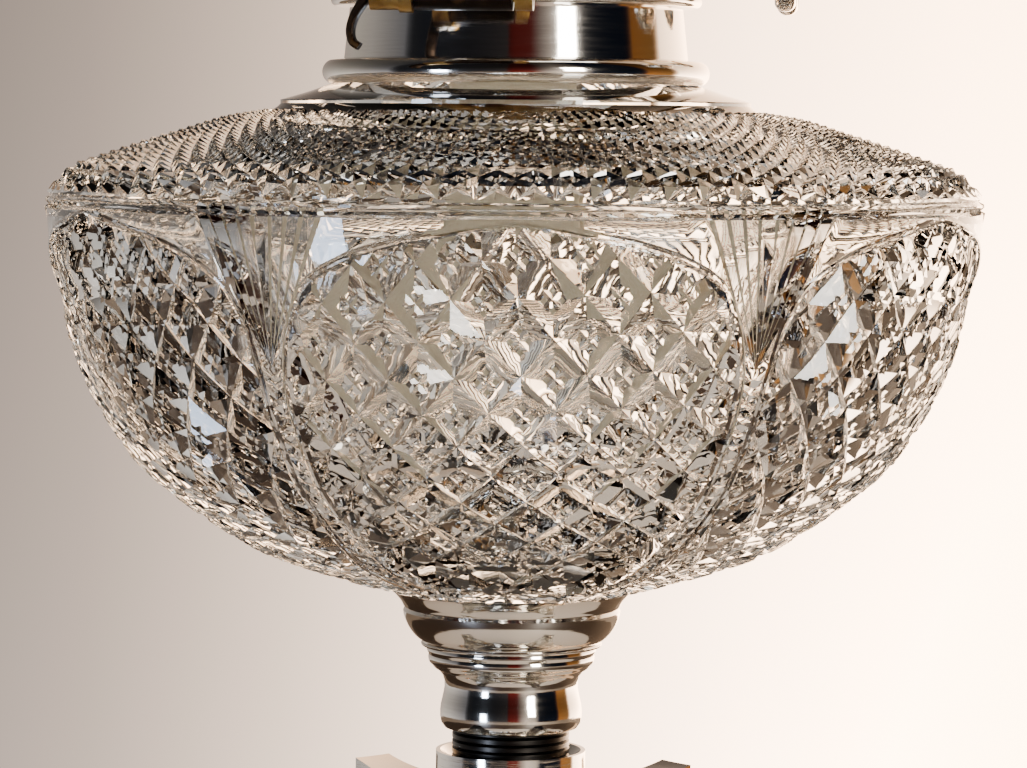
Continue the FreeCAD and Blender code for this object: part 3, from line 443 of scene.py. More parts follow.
def sectorMesh():
    # one closed-in sixth of the font: cut body, shoulder, neck, lining and peg
    shape = BowlShape(bowl["outline"])
    uv, level, faces = bodyFacets(shape)
    angle = uv[:, 0] / shape.radius(uv[:, 1])
    points = [tuple(p) for p in shape.place(uv[:, 1], angle, level)]
    faces = [tuple(f) for f in faces]
    half = math.pi / bowl["panels"]

    def addRow(r, z, count):
        # a row of points across the sector at one radius and height
        angles = np.linspace(-half, half, count)
        first = len(points)
        for a, radius, height in zip(angles, np.broadcast_to(r, count), np.broadcast_to(z, count)):
            points.append((radius * math.cos(a), radius * math.sin(a), height))
        return list(range(first, first + count)), angles

    top = np.nonzero(uv[:, 1] < 1e-4)[0]
    top = top[np.argsort(uv[top, 0])]
    row, rowAngles = list(top), angle[top]
    perPanel = bowl["spirals"] // bowl["panels"]
    for r, z, lift in bowl["rim"][::-1]:
        new, newAngles = addRow(r + lift, z, 2 * perPanel + 1)
        faces += stitched(row, new, rowAngles, newAngles)
        row, rowAngles = new, newAngles
    line = smoothLine(bowl["shoulder"], 200)
    rows = bowl["shoulderRows"]
    inner, outer = bowl["shoulder"][0][0], bowl["shoulder"][-1][0]
    for j in range(rows, -1, -1):
        radius = inner * (outer / inner) ** (j / rows)
        height = np.interp(radius, line[:, 0], line[:, 1])
        slope = np.interp(radius + 1, line[:, 0], line[:, 1]) - height
        depth = bowl["shoulderCut"] * 2 * math.pi * radius / bowl["spirals"]
        places = np.arange(2 * perPanel + 1)
        cut = np.where((places + j) % 2 == 0, -depth, 0.0)
        if j == 0:
            cut[:] = -depth / 2
        tilt = math.hypot(1, slope)
        new, newAngles = addRow(radius - cut * slope / tilt, height + cut / tilt, 2 * perPanel + 1)
        if j == rows:
            faces += stitched(row, new, rowAngles, newAngles)
        else:
            for i in range(2 * perPanel):
                a, b, c, d = row[i], row[i + 1], new[i + 1], new[i]
                if (i + j) % 2 == 0:
                    faces += [(a, b, d), (b, c, d)]
                else:
                    faces += [(a, b, c), (a, c, d)]
        row, rowAngles = new, newAngles
    smooth = [tuple(p) for p in smoothLine(bowl["lining"], bowl["liningSteps"])]
    for r, z in bowl["neck"] + smooth[1:]:
        new, newAngles = addRow(r, z, perPanel + 1)
        faces += stitched(row, new, rowAngles, newAngles)
        row, rowAngles = new, newAngles
    points.append((0.0, 0.0, bowl["lining"][-1][1]))
    faces += [(a, b, len(points) - 1) for a, b in zip(row, row[1:])]
    bottom = np.nonzero(uv[:, 1] > shape.length - 1e-4)[0]
    bottom = bottom[np.argsort(-uv[bottom, 0])]
    row, rowAngles = list(bottom), -angle[bottom]
    for r, z in bowl["peg"]:
        new, newAngles = addRow(r, z, perPanel + 1)
        faces += stitched(row, new[::-1], rowAngles, newAngles)
        row, rowAngles = new[::-1], newAngles
    points.append((0.0, 0.0, bowl["peg"][-1][1]))
    faces += [(a, b, len(points) - 1) for a, b in zip(row, row[1:])]
    turn = math.radians(bowl["turn"])
    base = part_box("cup_upper")[1][2] / mm
    placed = np.array(points)
    x = placed[:, 0] * math.cos(turn) - placed[:, 1] * math.sin(turn)
    y = placed[:, 0] * math.sin(turn) + placed[:, 1] * math.cos(turn)
    placed = np.stack([x, y, placed[:, 2] + base], axis=1) * mm
    return meshFrom("sectorCut", placed, faces)


def arrayTree(name, count, material):
    # copies of a shape turned about the lamp's axis, joined where they meet
    tree = bpy.data.node_groups.new(name, "GeometryNodeTree")
    face = tree.interface
    face.new_socket("Geometry", in_out="INPUT", socket_type="NodeSocketGeometry")
    face.new_socket("Copies", in_out="INPUT", socket_type="NodeSocketInt").default_value = count
    face.new_socket("First Angle", in_out="INPUT", socket_type="NodeSocketFloat")
    face.new_socket("Join Distance", in_out="INPUT", socket_type="NodeSocketFloat")
    face.new_socket("Geometry", in_out="OUTPUT", socket_type="NodeSocketGeometry")
    given = addNode(tree, "NodeGroupInput")
    line = addNode(tree, "GeometryNodeMeshLine", {"Count": given.outputs["Copies"],
                                                  "Offset": (0.0, 0.0, 0.0)})
    index = addNode(tree, "GeometryNodeInputIndex")
    part = addNode(tree, "ShaderNodeMath", {0: index.outputs[0], 1: given.outputs["Copies"]},
                   operation="DIVIDE")
    whole = addNode(tree, "ShaderNodeMath", {0: part.outputs[0], 1: 2 * math.pi},
                    operation="MULTIPLY")
    angle = addNode(tree, "ShaderNodeMath", {0: whole.outputs[0], 1: given.outputs["First Angle"]},
                    operation="ADD")
    turn = addNode(tree, "ShaderNodeCombineXYZ", {"Z": angle.outputs[0]})
    copies = addNode(tree, "GeometryNodeInstanceOnPoints", {
        "Points": line.outputs[0], "Instance": given.outputs["Geometry"],
        "Rotation": turn.outputs[0]})
    real = addNode(tree, "GeometryNodeRealizeInstances", {0: copies.outputs[0]})
    joined = addNode(tree, "GeometryNodeMergeByDistance", {
        "Geometry": real.outputs[0], "Distance": given.outputs["Join Distance"]})
    paint = addNode(tree, "GeometryNodeSetMaterial", {"Geometry": joined.outputs[0],
                                                      "Material": material})
    addNode(tree, "NodeGroupOutput", {0: paint.outputs[0]})
    return tree


def grown(name, mesh, tree, material, **values):
    # runs a node tree on a mesh and keeps the result as a plain object
    seed = newObject(name + "Seed", mesh, material)
    modifier = seed.modifiers.new(name, "NODES")
    modifier.node_group = tree
    sockets = {item.name: item.identifier for item in tree.interface.items_tree
               if item.in_out == "INPUT"}
    for key, value in values.items():
        modifier[sockets[key]] = value
    graph = bpy.context.evaluated_depsgraph_get()
    result = bpy.data.meshes.new_from_object(seed.evaluated_get(graph))
    bpy.data.objects.remove(seed)
    return newObject(name, result, material)


def facetShading(thing, degrees):
    # flat facets with sharp edges, smooth where the surface only curves
    mesh = thing.data
    tidy = bmesh.new()
    tidy.from_mesh(mesh)
    bmesh.ops.remove_doubles(tidy, verts=tidy.verts, dist=2e-6)
    bmesh.ops.dissolve_degenerate(tidy, edges=tidy.edges, dist=1e-6)
    spare = [v for v in tidy.verts if not v.link_faces]
    bmesh.ops.delete(tidy, geom=spare, context="VERTS")
    bmesh.ops.recalc_face_normals(tidy, faces=tidy.faces)
    gaps = sum(1 for e in tidy.edges if len(e.link_faces) != 2)
    if tidy.calc_volume(signed=True) < 0:
        bmesh.ops.reverse_faces(tidy, faces=tidy.faces)
    tidy.to_mesh(mesh)
    tidy.free()
    mesh.shade_smooth()
    mesh.set_sharp_from_angle(angle=math.radians(degrees))
    print(thing.name, len(mesh.polygons), "faces, open edges", gaps)


def surfaced(tree, height, strength, depth, settings):
    # ends a material: its shader with these settings, and a relief of the given depth in metres
    bump = addNode(tree, "ShaderNodeBump", {"Height": height, "Strength": strength,
                                            "Distance": depth})
    shader = addNode(tree, "ShaderNodeBsdfPrincipled", {**settings, "Normal": bump.outputs[0]})
    addNode(tree, "ShaderNodeOutputMaterial", {"Surface": shader.outputs[0]})


def cutGlassMaterial():
    # lead crystal, cut and acid polished: clear, bright, very faint waves from polishing
    material, tree = newMaterial("leadCrystalPolished")
    place = addNode(tree, "ShaderNodeTexCoord")
    waves = addNode(tree, "ShaderNodeTexNoise", {"Vector": place.outputs["Object"],
                                                 "Scale": 1 / 0.009, "Detail": 2.0})
    haze = addNode(tree, "ShaderNodeMapRange", {"Value": waves.outputs["Fac"], "To Min": 0.0,
                                                "To Max": 0.035})
    surfaced(tree, waves.outputs["Fac"], 0.05, 0.4 * mm, {
        "Base Color": linear("#fbfcfa"), "Roughness": haze.outputs[0], "IOR": 1.54,
        "Transmission Weight": 1.0})
    return material


def silverPlateMaterial():
    # silver plate, spun and hand polished: a crisp mirror, with thin wipe marks that run round the
    # piece and a warm film of tarnish in soft patches
    material, tree = newMaterial("silverPlatePolished")
    place = addNode(tree, "ShaderNodeTexCoord")
    film = addNode(tree, "ShaderNodeTexNoise", {"Vector": place.outputs["Object"],
                                                "Scale": 1 / 0.024, "Detail": 3.0})
    colour = addNode(tree, "ShaderNodeMixRGB", {"Fac": film.outputs["Fac"],
                                                1: linear("#eeebe6"), 2: linear("#d8cebf")})
    around = addNode(tree, "ShaderNodeMapping", {"Vector": place.outputs["Object"],
                                                 "Scale": (1.0, 1.0, 14.0)})
    wipes = addNode(tree, "ShaderNodeTexNoise", {"Vector": around.outputs[0],
                                                 "Scale": 1 / 0.009, "Detail": 4.0})
    gloss = addNode(tree, "ShaderNodeMapRange", {"Value": wipes.outputs["Fac"],
                                                 "To Min": 0.03, "To Max": 0.13})
    surfaced(tree, wipes.outputs["Fac"], 0.06, 0.3 * mm, {
        "Base Color": colour.outputs[0], "Metallic": 1.0, "Roughness": gloss.outputs[0]})
    return material


def stainedBrass(name, size, detail, spread, colours, gloss, strength):
    # brass that is stained in patches of a size in metres, which change its colour and its gloss
    material, tree = newMaterial(name)
    place = addNode(tree, "ShaderNodeTexCoord")
    stain = addNode(tree, "ShaderNodeTexNoise", {"Vector": place.outputs["Object"],
                                                 "Scale": 1 / size, "Detail": detail})
    share = addNode(tree, "ShaderNodeMapRange", {"Value": stain.outputs["Fac"],
                                                 "From Min": spread[0], "From Max": spread[1]})
    colour = addNode(tree, "ShaderNodeMixRGB", {"Fac": share.outputs[0], 1: linear(colours[0]),
                                                2: linear(colours[1])})
    rough = addNode(tree, "ShaderNodeMapRange", {"Value": stain.outputs["Fac"],
                                                 "To Min": gloss[0], "To Max": gloss[1]})
    surfaced(tree, stain.outputs["Fac"], strength, 0.2 * mm, {
        "Base Color": colour.outputs[0], "Metallic": 1.0, "Roughness": rough.outputs[0]})
    return material


def wornBrassMaterial():
    # drawn brass, handled and heated: dull gold with brown heat stain in patches
    return stainedBrass("brassHeatStained", 0.007, 5.0, (0.4, 0.65), ("#b4935a", "#6d4c2c"),
                        (0.2, 0.48), 0.15)


def tarnishedBrassMaterial():
    # pierced brass gone dark with smoke: brown-black, with gold where fingers have rubbed it
    return stainedBrass("brassSmokeDarkened", 0.012, 6.0, (0.52, 0.72), ("#2b221c", "#6f522f"),
                        (0.28, 0.5), 0.12)


def blackSteelMaterial():
    # oil-blackened steel: near black, with an oily shine broken by fine turning marks
    material, tree = newMaterial("steelOilBlacked")
    place = addNode(tree, "ShaderNodeTexCoord")
    around = addNode(tree, "ShaderNodeMapping", {"Vector": place.outputs["Object"],
                                                 "Scale": (1.0, 1.0, 20.0)})
    marks = addNode(tree, "ShaderNodeTexNoise", {"Vector": around.outputs[0],
                                                 "Scale": 1 / 0.006, "Detail": 4.0})
    colour = addNode(tree, "ShaderNodeMixRGB", {"Fac": marks.outputs["Fac"],
                                                1: linear("#171615"), 2: linear("#3a3836")})
    gloss = addNode(tree, "ShaderNodeMapRange", {"Value": marks.outputs["Fac"], "To Min": 0.2,
                                                 "To Max": 0.42})
    bump = addNode(tree, "ShaderNodeBump", {"Height": marks.outputs["Fac"], "Strength": 0.1,
                                            "Distance": 0.1 * mm})
    shader = addNode(tree, "ShaderNodeBsdfPrincipled", {
        "Base Color": colour.outputs[0], "Metallic": 1.0, "Roughness": gloss.outputs[0],
        "Normal": bump.outputs[0]})
    addNode(tree, "ShaderNodeOutputMaterial", {"Surface": shader.outputs[0]})
    return material


def castIronMaterial():
    # sand-cast iron, bare: dark grey and grainy, with rust blooms
    material, tree = newMaterial("ironSandCast")
    place = addNode(tree, "ShaderNodeTexCoord")
    sand = addNode(tree, "ShaderNodeTexNoise", {"Vector": place.outputs["Object"],
                                                "Scale": 1 / 0.0014, "Detail": 3.0})
    bloom = addNode(tree, "ShaderNodeTexNoise", {"Vector": place.outputs["Object"],
                                                 "Scale": 1 / 0.03, "Detail": 6.0})
    rust = addNode(tree, "ShaderNodeMapRange", {"Value": bloom.outputs["Fac"], "From Min": 0.55,
                                                "From Max": 0.7})
    colour = addNode(tree, "ShaderNodeMixRGB", {"Fac": rust.outputs[0], 1: linear("#4b4a4a"),
                                                2: linear("#5f3d2a")})
    gloss = addNode(tree, "ShaderNodeMapRange", {"Value": rust.outputs[0], "To Min": 0.5,
                                                 "To Max": 0.85})
    surfaced(tree, sand.outputs["Fac"], 0.5, 0.3 * mm, {
        "Base Color": colour.outputs[0], "Metallic": 0.7, "Roughness": gloss.outputs[0]})
    return material


def plasterMaterial():
    # plaster of Paris, poured as a cement: chalky off-white with pinholes, dented in by the bump and
    # painted darker inside as painted shade
    material, tree = newMaterial("plasterPoured")
    place = addNode(tree, "ShaderNodeTexCoord")
    pores = addNode(tree, "ShaderNodeTexVoronoi", {"Vector": place.outputs["Object"],
                                                   "Scale": 1 / 0.0016})
    pinholePitsAndShade = addNode(tree, "ShaderNodeMapRange", {"Value": pores.outputs["Distance"],
                                                 "From Min": 0.05, "From Max": 0.22})
    # the pinholes take the darker colour: painted shade inside the pits, not a colour of the plaster
    # itself
    colour = addNode(tree, "ShaderNodeMixRGB", {"Fac": pinholePitsAndShade.outputs[0], 1: linear("#b3a994"),
                                                2: linear("#e9e2d3")})
    surfaced(tree, pinholePitsAndShade.outputs[0], 0.35, 0.3 * mm, {
        "Base Color": colour.outputs[0], "Roughness": 0.92})
    return material


def feltMaterial():
    # pressed wool felt, dyed green: matt, with a pale haze of fibres at a glancing look
    material, tree = newMaterial("woolFeltGreen")
    place = addNode(tree, "ShaderNodeTexCoord")
    fibres = addNode(tree, "ShaderNodeTexNoise", {"Vector": place.outputs["Object"],
                                                  "Scale": 1 / 0.0009, "Detail": 4.0,
                                                  "Distortion": 1.5})
    colour = addNode(tree, "ShaderNodeMixRGB", {"Fac": fibres.outputs["Fac"],
                                                1: linear("#173a26"), 2: linear("#3c6b4b")})
    surfaced(tree, fibres.outputs["Fac"], 0.6, 0.3 * mm, {
        "Base Color": colour.outputs[0], "Roughness": 0.95, "Sheen Weight": 0.5,
        "Sheen Roughness": 0.5})
    return material


def chimneyGlassMaterial():
    # blown soda glass: thin and clear, with a slow wave from blowing that bends reflections
    material, tree = newMaterial("sodaGlassBlown")
    place = addNode(tree, "ShaderNodeTexCoord")
    drawn = addNode(tree, "ShaderNodeMapping", {"Vector": place.outputs["Object"],
                                                "Scale": (1.0, 1.0, 0.3)})
    wave = addNode(tree, "ShaderNodeTexNoise", {"Vector": drawn.outputs[0], "Scale": 1 / 0.02})
    surfaced(tree, wave.outputs["Fac"], 0.08, 0.5 * mm, {
        "Base Color": linear("#fafcfb"), "Roughness": 0.01, "IOR": 1.51,
        "Transmission Weight": 1.0})
    return material


def wickMaterial():
    # unbleached cotton tape, woven: cream, with its burnt edge charred black
    material, tree = newMaterial("cottonTapeWoven")
    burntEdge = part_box("wick_front")[1].z
    place = addNode(tree, "ShaderNodeTexCoord")
    parts = addNode(tree, "ShaderNodeSeparateXYZ", {0: place.outputs["Object"]})
    fibres = addNode(tree, "ShaderNodeTexNoise", {"Vector": place.outputs["Object"],
                                                  "Scale": 1 / 0.0007, "Detail": 4.0})
    ragged = addNode(tree, "ShaderNodeMath", {0: fibres.outputs["Fac"], 1: 1.6 * mm,
                                              2: parts.outputs["Z"]}, operation="MULTIPLY_ADD")
    char = addNode(tree, "ShaderNodeMapRange", {"Value": ragged.outputs[0],
                                                "From Min": burntEdge - 1.6 * mm,
                                                "From Max": burntEdge + 0.4 * mm})
    cloth = addNode(tree, "ShaderNodeMixRGB", {"Fac": fibres.outputs["Fac"],
                                               1: linear("#c3ad86"), 2: linear("#e8dcc2")})
    colour = addNode(tree, "ShaderNodeMixRGB", {"Fac": char.outputs[0], 1: cloth.outputs[0],
                                                2: linear("#16110d")})
    surfaced(tree, fibres.outputs["Fac"], 0.4, 0.15 * mm, {
        "Base Color": colour.outputs[0], "Roughness": 0.9, "Sheen Weight": 0.2})
    return material


# The capital's leaves: how many stand in a row, how far apart their veins are up the leaf in mm,
# and how steeply the veins run outward.
leaves = {"perRow": 8, "veinSpacing": 4.2, "veinLean": -34.0}


def chasedSilverMaterial(name, turn):
    # cast leaves, silver plated and chased with veins that run up and out from each midrib, with
    # dark tarnish left in the veins where the polishing cloth doesn't reach
    material, tree = newMaterial(name)
    place = addNode(tree, "ShaderNodeTexCoord")
    parts = addNode(tree, "ShaderNodeSeparateXYZ", {0: place.outputs["Object"]})
    angle = addNode(tree, "ShaderNodeMath", {0: parts.outputs["Y"], 1: parts.outputs["X"]},
                    operation="ARCTAN2")
    leaf = addNode(tree, "ShaderNodeMath", {
        0: angle.outputs[0], 1: leaves["perRow"] / (2 * math.pi), 2: turn}, operation="MULTIPLY_ADD")
    share = addNode(tree, "ShaderNodeMath", {0: leaf.outputs[0]}, operation="FRACT")
    centred = addNode(tree, "ShaderNodeMath", {0: share.outputs[0], 1: 0.5}, operation="SUBTRACT")
    aside = addNode(tree, "ShaderNodeMath", {0: centred.outputs[0]}, operation="ABSOLUTE")
    climb = addNode(tree, "ShaderNodeMath", {
        0: parts.outputs["Z"], 1: 2 * math.pi / (leaves["veinSpacing"] * mm)}, operation="MULTIPLY")
    phase = addNode(tree, "ShaderNodeMath", {0: aside.outputs[0], 1: leaves["veinLean"],
                                             2: climb.outputs[0]}, operation="MULTIPLY_ADD")
    wave = addNode(tree, "ShaderNodeMath", {0: phase.outputs[0]}, operation="SINE")
    veins = addNode(tree, "ShaderNodeMapRange", {"Value": wave.outputs[0], "From Min": -1.0,
                                                 "From Max": -0.55})
    rib = addNode(tree, "ShaderNodeMapRange", {"Value": aside.outputs[0], "From Min": 0.015,
                                               "From Max": 0.05})
    relief = addNode(tree, "ShaderNodeMath", {0: veins.outputs[0], 1: rib.outputs[0]},
                     operation="MULTIPLY")
    film = addNode(tree, "ShaderNodeTexNoise", {"Vector": place.outputs["Object"],
                                                "Scale": 1 / 0.006, "Detail": 3.0})
    colour = addNode(tree, "ShaderNodeMixRGB", {"Fac": film.outputs["Fac"],
                                                1: linear("#ebe7e1"), 2: linear("#cdc2b2")})
    tarnished = addNode(tree, "ShaderNodeMixRGB", {"Fac": relief.outputs[0],
                                                   1: linear("#4f463d"), 2: colour.outputs[0]})
    gloss = addNode(tree, "ShaderNodeMapRange", {"Value": relief.outputs[0], "To Min": 0.4,
                                                 "To Max": 0.12})
    surfaced(tree, relief.outputs[0], 0.6, 0.5 * mm, {
        "Base Color": tarnished.outputs[0], "Metallic": 1.0, "Roughness": gloss.outputs[0]})
    return material


finishes = {
    "cut_glass": cutGlassMaterial(), "silver_plate": silverPlateMaterial(),
    "chimney_glass": chimneyGlassMaterial(), "black_thread": blackSteelMaterial(),
    "brass": wornBrassMaterial(), "dark_bronze": tarnishedBrassMaterial(),
    "iron": castIronMaterial(), "plaster": plasterMaterial(), "green_felt": feltMaterial(),
    "cotton": wickMaterial(),
}


def finishNodes():
    # every node of the frame takes the finish of its slot
    for part in frame["record"]["subparts"]:
        mesh = frame["nodes"][part["node"]].data
        mesh.materials.clear()
        mesh.materials.append(finishes[part["material_slot"]])
    for node, name, turn in (("leaves_lower", "silverLeavesChasedLower", 0.5),
                             ("leaves_upper", "silverLeavesChasedUpper", 0.0)):
        frame["nodes"][node].data.materials[0] = chasedSilverMaterial(name, turn)


def makeBowl():
    material = finishes["cut_glass"]
    count = bowl["panels"]
    thing = grown("cutBowl", sectorMesh(), arrayTree("panelCopies", count, material), material,
                  **{"Copies": count, "First Angle": 0.0, "Join Distance": 4e-6})
    facetShading(thing, 18)
    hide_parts("font_bowl")
    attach(thing, "font")
    return thing


finishNodes()
makeBowl()
print("font made")


# Each wick is a flat cotton tape, plain woven, with its threads standing up from the cloth.
wick = {"thread": 1.1, "relief": 0.16, "steps": 4, "edgeRound": 0.35, "edgeWidth": 1.2}


def makeWick(side):
    low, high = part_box("wick_" + side)
    width, length = (high.x - low.x) / mm, (high.z - low.z) / mm
    half, middle = (high.y - low.y) / mm / 2, (high.y + low.y) / mm / 2
    step = wick["thread"] / wick["steps"]
    columns, rows = round(width / step), round(length / (2 * step))
    points, faces = [], []
    for face in (-1, 1):
        for row in range(rows + 1):
            for column in range(columns + 1):
                across, along = column / columns * width, row / rows * length
                over = math.sin(math.pi * across / wick["thread"])
                under = math.sin(math.pi * along / wick["thread"])
                edge = min(1.0, across / wick["edgeWidth"], (width - across) / wick["edgeWidth"])
                depth = half - wick["relief"] * (0.5 - 0.5 * face * over * under)
                depth -= wick["edgeRound"] * (1 - edge) ** 2
                points.append((low.x + across * mm, (middle + face * depth) * mm,
                               low.z + along * mm))
    front = (rows + 1) * (columns + 1)

    def at(face, row, column):
        return (front if face > 0 else 0) + row * (columns + 1) + column

    for row in range(rows):
        for column in range(columns):
            loop = [at(-1, row, column), at(-1, row, column + 1), at(-1, row + 1, column + 1),
                    at(-1, row + 1, column)]
            faces.append(loop)
            faces.append([i + front for i in reversed(loop)])
        for column, order in ((0, 1), (columns, -1)):
            faces.append([at(-1, row, column), at(-1, row + 1, column), at(1, row + 1, column),
                          at(1, row, column)][::order])
    for column in range(columns):
        for row, order in ((0, -1), (rows, 1)):
            faces.append([at(-1, row, column), at(-1, row, column + 1), at(1, row, column + 1),
                          at(1, row, column)][::order])
    tape = newObject("cottonWick" + side.title(), meshFrom("wickTape", points, faces),
                     finishes["cotton"])
    tape.data.shade_smooth()
    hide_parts("wick_" + side)
    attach(tape, "wick_body_" + side)


for side in ("front", "rear"):
    makeWick(side)
print("wicks made")


# The two spun cups under the font. Each run is a smooth stretch of the profile, as radius and
# height from the font's foot in mm, and the runs meet at crisp edges.
cups = {
    "cup_upper": [[(9.0, -13.0), (16.9, -13.0)], [(16.9, -13.0), (17.3, -12.2), (17.2, -11.5)],
                  [(17.2, -11.5), (18.2, -11.3), (18.5, -10.9), (18.3, -10.5)],
                  [(18.3, -10.5), (18.2, -10.3), (19.6, -9.3), (21.0, -7.5), (21.9, -5.5),
                   (22.2, -4.1), (21.9, -3.4)],
                  [(21.9, -3.4), (22.2, -3.0), (22.7, -2.0), (23.9, -0.6), (24.6, 0.0)],
                  [(24.6, 0.0), (22.7, 0.0)], [(22.7, 0.0), (21.9, -2.5), (19.3, -7.2),
                                               (15.8, -9.9)],
                  [(15.8, -9.9), (9.0, -9.9)], [(9.0, -9.9), (9.0, -13.0)]],
    "cup_lower": [[(12.1, -28.4), (12.4, -28.4)],
                  [(12.4, -28.4), (13.7, -27.9), (14.3, -26.9), (14.5, -25.4), (14.4, -23.6),
                   (13.9, -21.4), (13.6, -19.4), (13.9, -17.6), (14.8, -16.4)],
                  [(14.8, -16.4), (15.7, -15.8), (16.2, -15.2)],
                  [(16.2, -15.2), (16.8, -14.6), (17.0, -13.7), (16.9, -13.05)],
                  [(16.9, -13.05), (11.0, -13.05)], [(11.0, -13.05), (11.0, -22.4)],
                  [(11.0, -22.4), (12.1, -22.4)], [(12.1, -22.4), (12.1, -28.4)]],
}


def makeCups():
    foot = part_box("cup_upper")[1].z / mm
    turns = 160
    for node, runs in cups.items():
        profile = []
        for run in runs:
            path = smoothLine(run, 12) if len(run) > 2 else np.array(run)
            profile += [tuple(p) for p in path[:-1]]
        points = [(r * math.cos(a) * mm, r * math.sin(a) * mm, (foot + z) * mm)
                  for a in (2 * math.pi * k / turns for k in range(turns)) for r, z in profile]
        n = len(profile)
        faces = [(k * n + i, (k + 1) % turns * n + i, (k + 1) % turns * n + (i + 1) % n,
                  k * n + (i + 1) % n) for k in range(turns) for i in range(n)]
        cup = newObject("spun" + node.title().replace("_", ""), meshFrom(node, points, faces),
                        finishes["silver_plate"])
        facetShading(cup, 28)
        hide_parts(node)
        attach(cup, "font")


makeCups()
print("cups made")


# The snuffer's thumb piece: a hammered strip that hangs from the lever's end and curls outward.
# Each point is (across, down) from the lever's pivot in mm, with the strip's half thickness.
thumb = {"line": [(1.6, 1.0, 1.5), (0.2, -1.8, 1.1), (-1.5, -4.6, 0.9), (-2.3, -7.4, 0.85),
                  (-1.9, -9.6, 0.8), (-0.6, -10.6, 0.8)],
         "halfWidth": 2.6, "squareness": 0.6, "sleeve": 3.6, "sides": 14, "steps": 40}


def makeThumbPiece():
    low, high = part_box("thumb_piece")
    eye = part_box("lever_bracket")
    pivotZ = eye[1].z / mm - thumb["sleeve"]
    line = np.array(thumb["line"])
    path = smoothLine(line[:, :2], thumb["steps"])
    thick = np.interp(np.linspace(0, 1, thumb["steps"]), np.linspace(0, 1, len(line)), line[:, 2])
    ahead = np.gradient(path, axis=0)
    ahead /= np.linalg.norm(ahead, axis=1)[:, None]
    middleX, middleY = (low.x + high.x) / 2 / mm, (low.y + high.y) / 2 / mm
    points, faces = [], []
    for (x, z), (ax, az), t in zip(path, ahead, thick):
        for k in range(thumb["sides"]):
            angle = 2 * math.pi * k / thumb["sides"]
            c, s = math.cos(angle), math.sin(angle)
            out = t * math.copysign(abs(c) ** thumb["squareness"], c)
            along = thumb["halfWidth"] * math.copysign(abs(s) ** thumb["squareness"], s)
            points.append(((middleX + x - az * out) * mm, (middleY + along) * mm,
                           (pivotZ + z + ax * out) * mm))
    n = thumb["sides"]
    for i in range(thumb["steps"] - 1):
        for k in range(n):
            j = (k + 1) % n
            faces.append((i * n + k, i * n + j, (i + 1) * n + j, (i + 1) * n + k))
    faces.append(tuple(range(n))[::-1])
    faces.append(tuple(range(len(points) - n, len(points))))
    curl = newObject("thumbCurl", meshFrom("thumbCurl", points, faces), finishes["dark_bronze"])
    facetShading(curl, 40)
    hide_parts("thumb_piece")
    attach(curl, "lever")


makeThumbPiece()
print("thumb piece made")


# The camera looks a little down at the font from the lamp's front.
view = {"turn": 5.0, "distance": 792.0, "eyeHeight": 457.3, "pitch": 3.785, "roll": 0.46,
        "lens": 136.7, "sensor": 36.0}


def makeCamera():
    data = bpy.data.cameras.new("camera")
    data.sensor_width = view["sensor"]
    data.lens = view["lens"]
    data.clip_end = 20
    camera = bpy.data.objects.new("camera", data)
    scene.collection.objects.link(camera)
    turn = math.radians(view["turn"])
    camera.location = (view["distance"] * mm * math.sin(turn),
                       -view["distance"] * mm * math.cos(turn), view["eyeHeight"] * mm)
    camera.rotation_mode = "QUATERNION"
    aim = Euler((math.radians(90 - view["pitch"]), 0, turn)).to_quaternion()
    camera.rotation_quaternion = aim @ Euler((0, 0, math.radians(view["roll"]))).to_quaternion()
    scene.camera = camera


makeCamera()


# A dim room with a pale wall behind the lamp, lit from the right: grey on the left, cream on the
# right. Going round from the wall to the right come brown wood, a blue-black gap, a window with
# curtains, and somebody's red cloth behind the viewer. Each level is an azimuth in degrees and a
# brightness in stops, and each tint is an azimuth and a colour.
room = {
    "levels": [(-180, -1.6), (-150, -3.0), (-112, -3.4), (-104, -0.2), (-70, 0.0), (-40, -0.3),
               (-12.3, -0.9), (-9, 0.25), (-5, 1.9), (-1, 3.2), (2.2, 3.9), (18, 4.0), (34, 3.5),
               (62, 2.6), (69, -1.0), (90, -0.2), (95, -3.4), (126, -3.4), (131, -0.8),
               (150, 0.4), (160, -0.6), (166, -0.9), (176, -1.0), (180, -1.6)],
    "tints": [(-180, "#6c6668"), (-120, "#6a7080"), (-50, "#d9d2ca"), (-14, "#f1dccd"),
              (3, "#f4c69b"), (62, "#f4d3b4"), (70, "#c48a4c"), (90, "#a86c36"),
              (96, "#44506a"), (128, "#44506a"), (136, "#e8d9c8"), (158, "#b8a8a0"),
              (165, "#8c3430"), (176, "#8c3430")],
    "cloth": "#d6d1ca", "clothRadius": 0.42, "table": "#35291f", "tableRadius": 1.05,
    "floor": "#a29a90", "floorRadius": 1.8,
    "rise": -4.0,              # stops lost for each unit of height in the direction
    "range": (-4.0, 4.0),      # stops that the levels span, and the limits of the whole
    "limits": (-3.8, 4.2),
}


def azimuthRamp(tree, share, stops):
    # stops are an azimuth in degrees and a colour
    ramp = addNode(tree, "ShaderNodeValToRGB", {"Fac": share})
    elements = ramp.color_ramp.elements
    for i, (degrees, colour) in enumerate(stops):
        at = (degrees + 180) / 360
        element = elements[i] if i < 2 else elements.new(at)
        element.position = at
        element.color = colour
    return ramp.outputs[0]


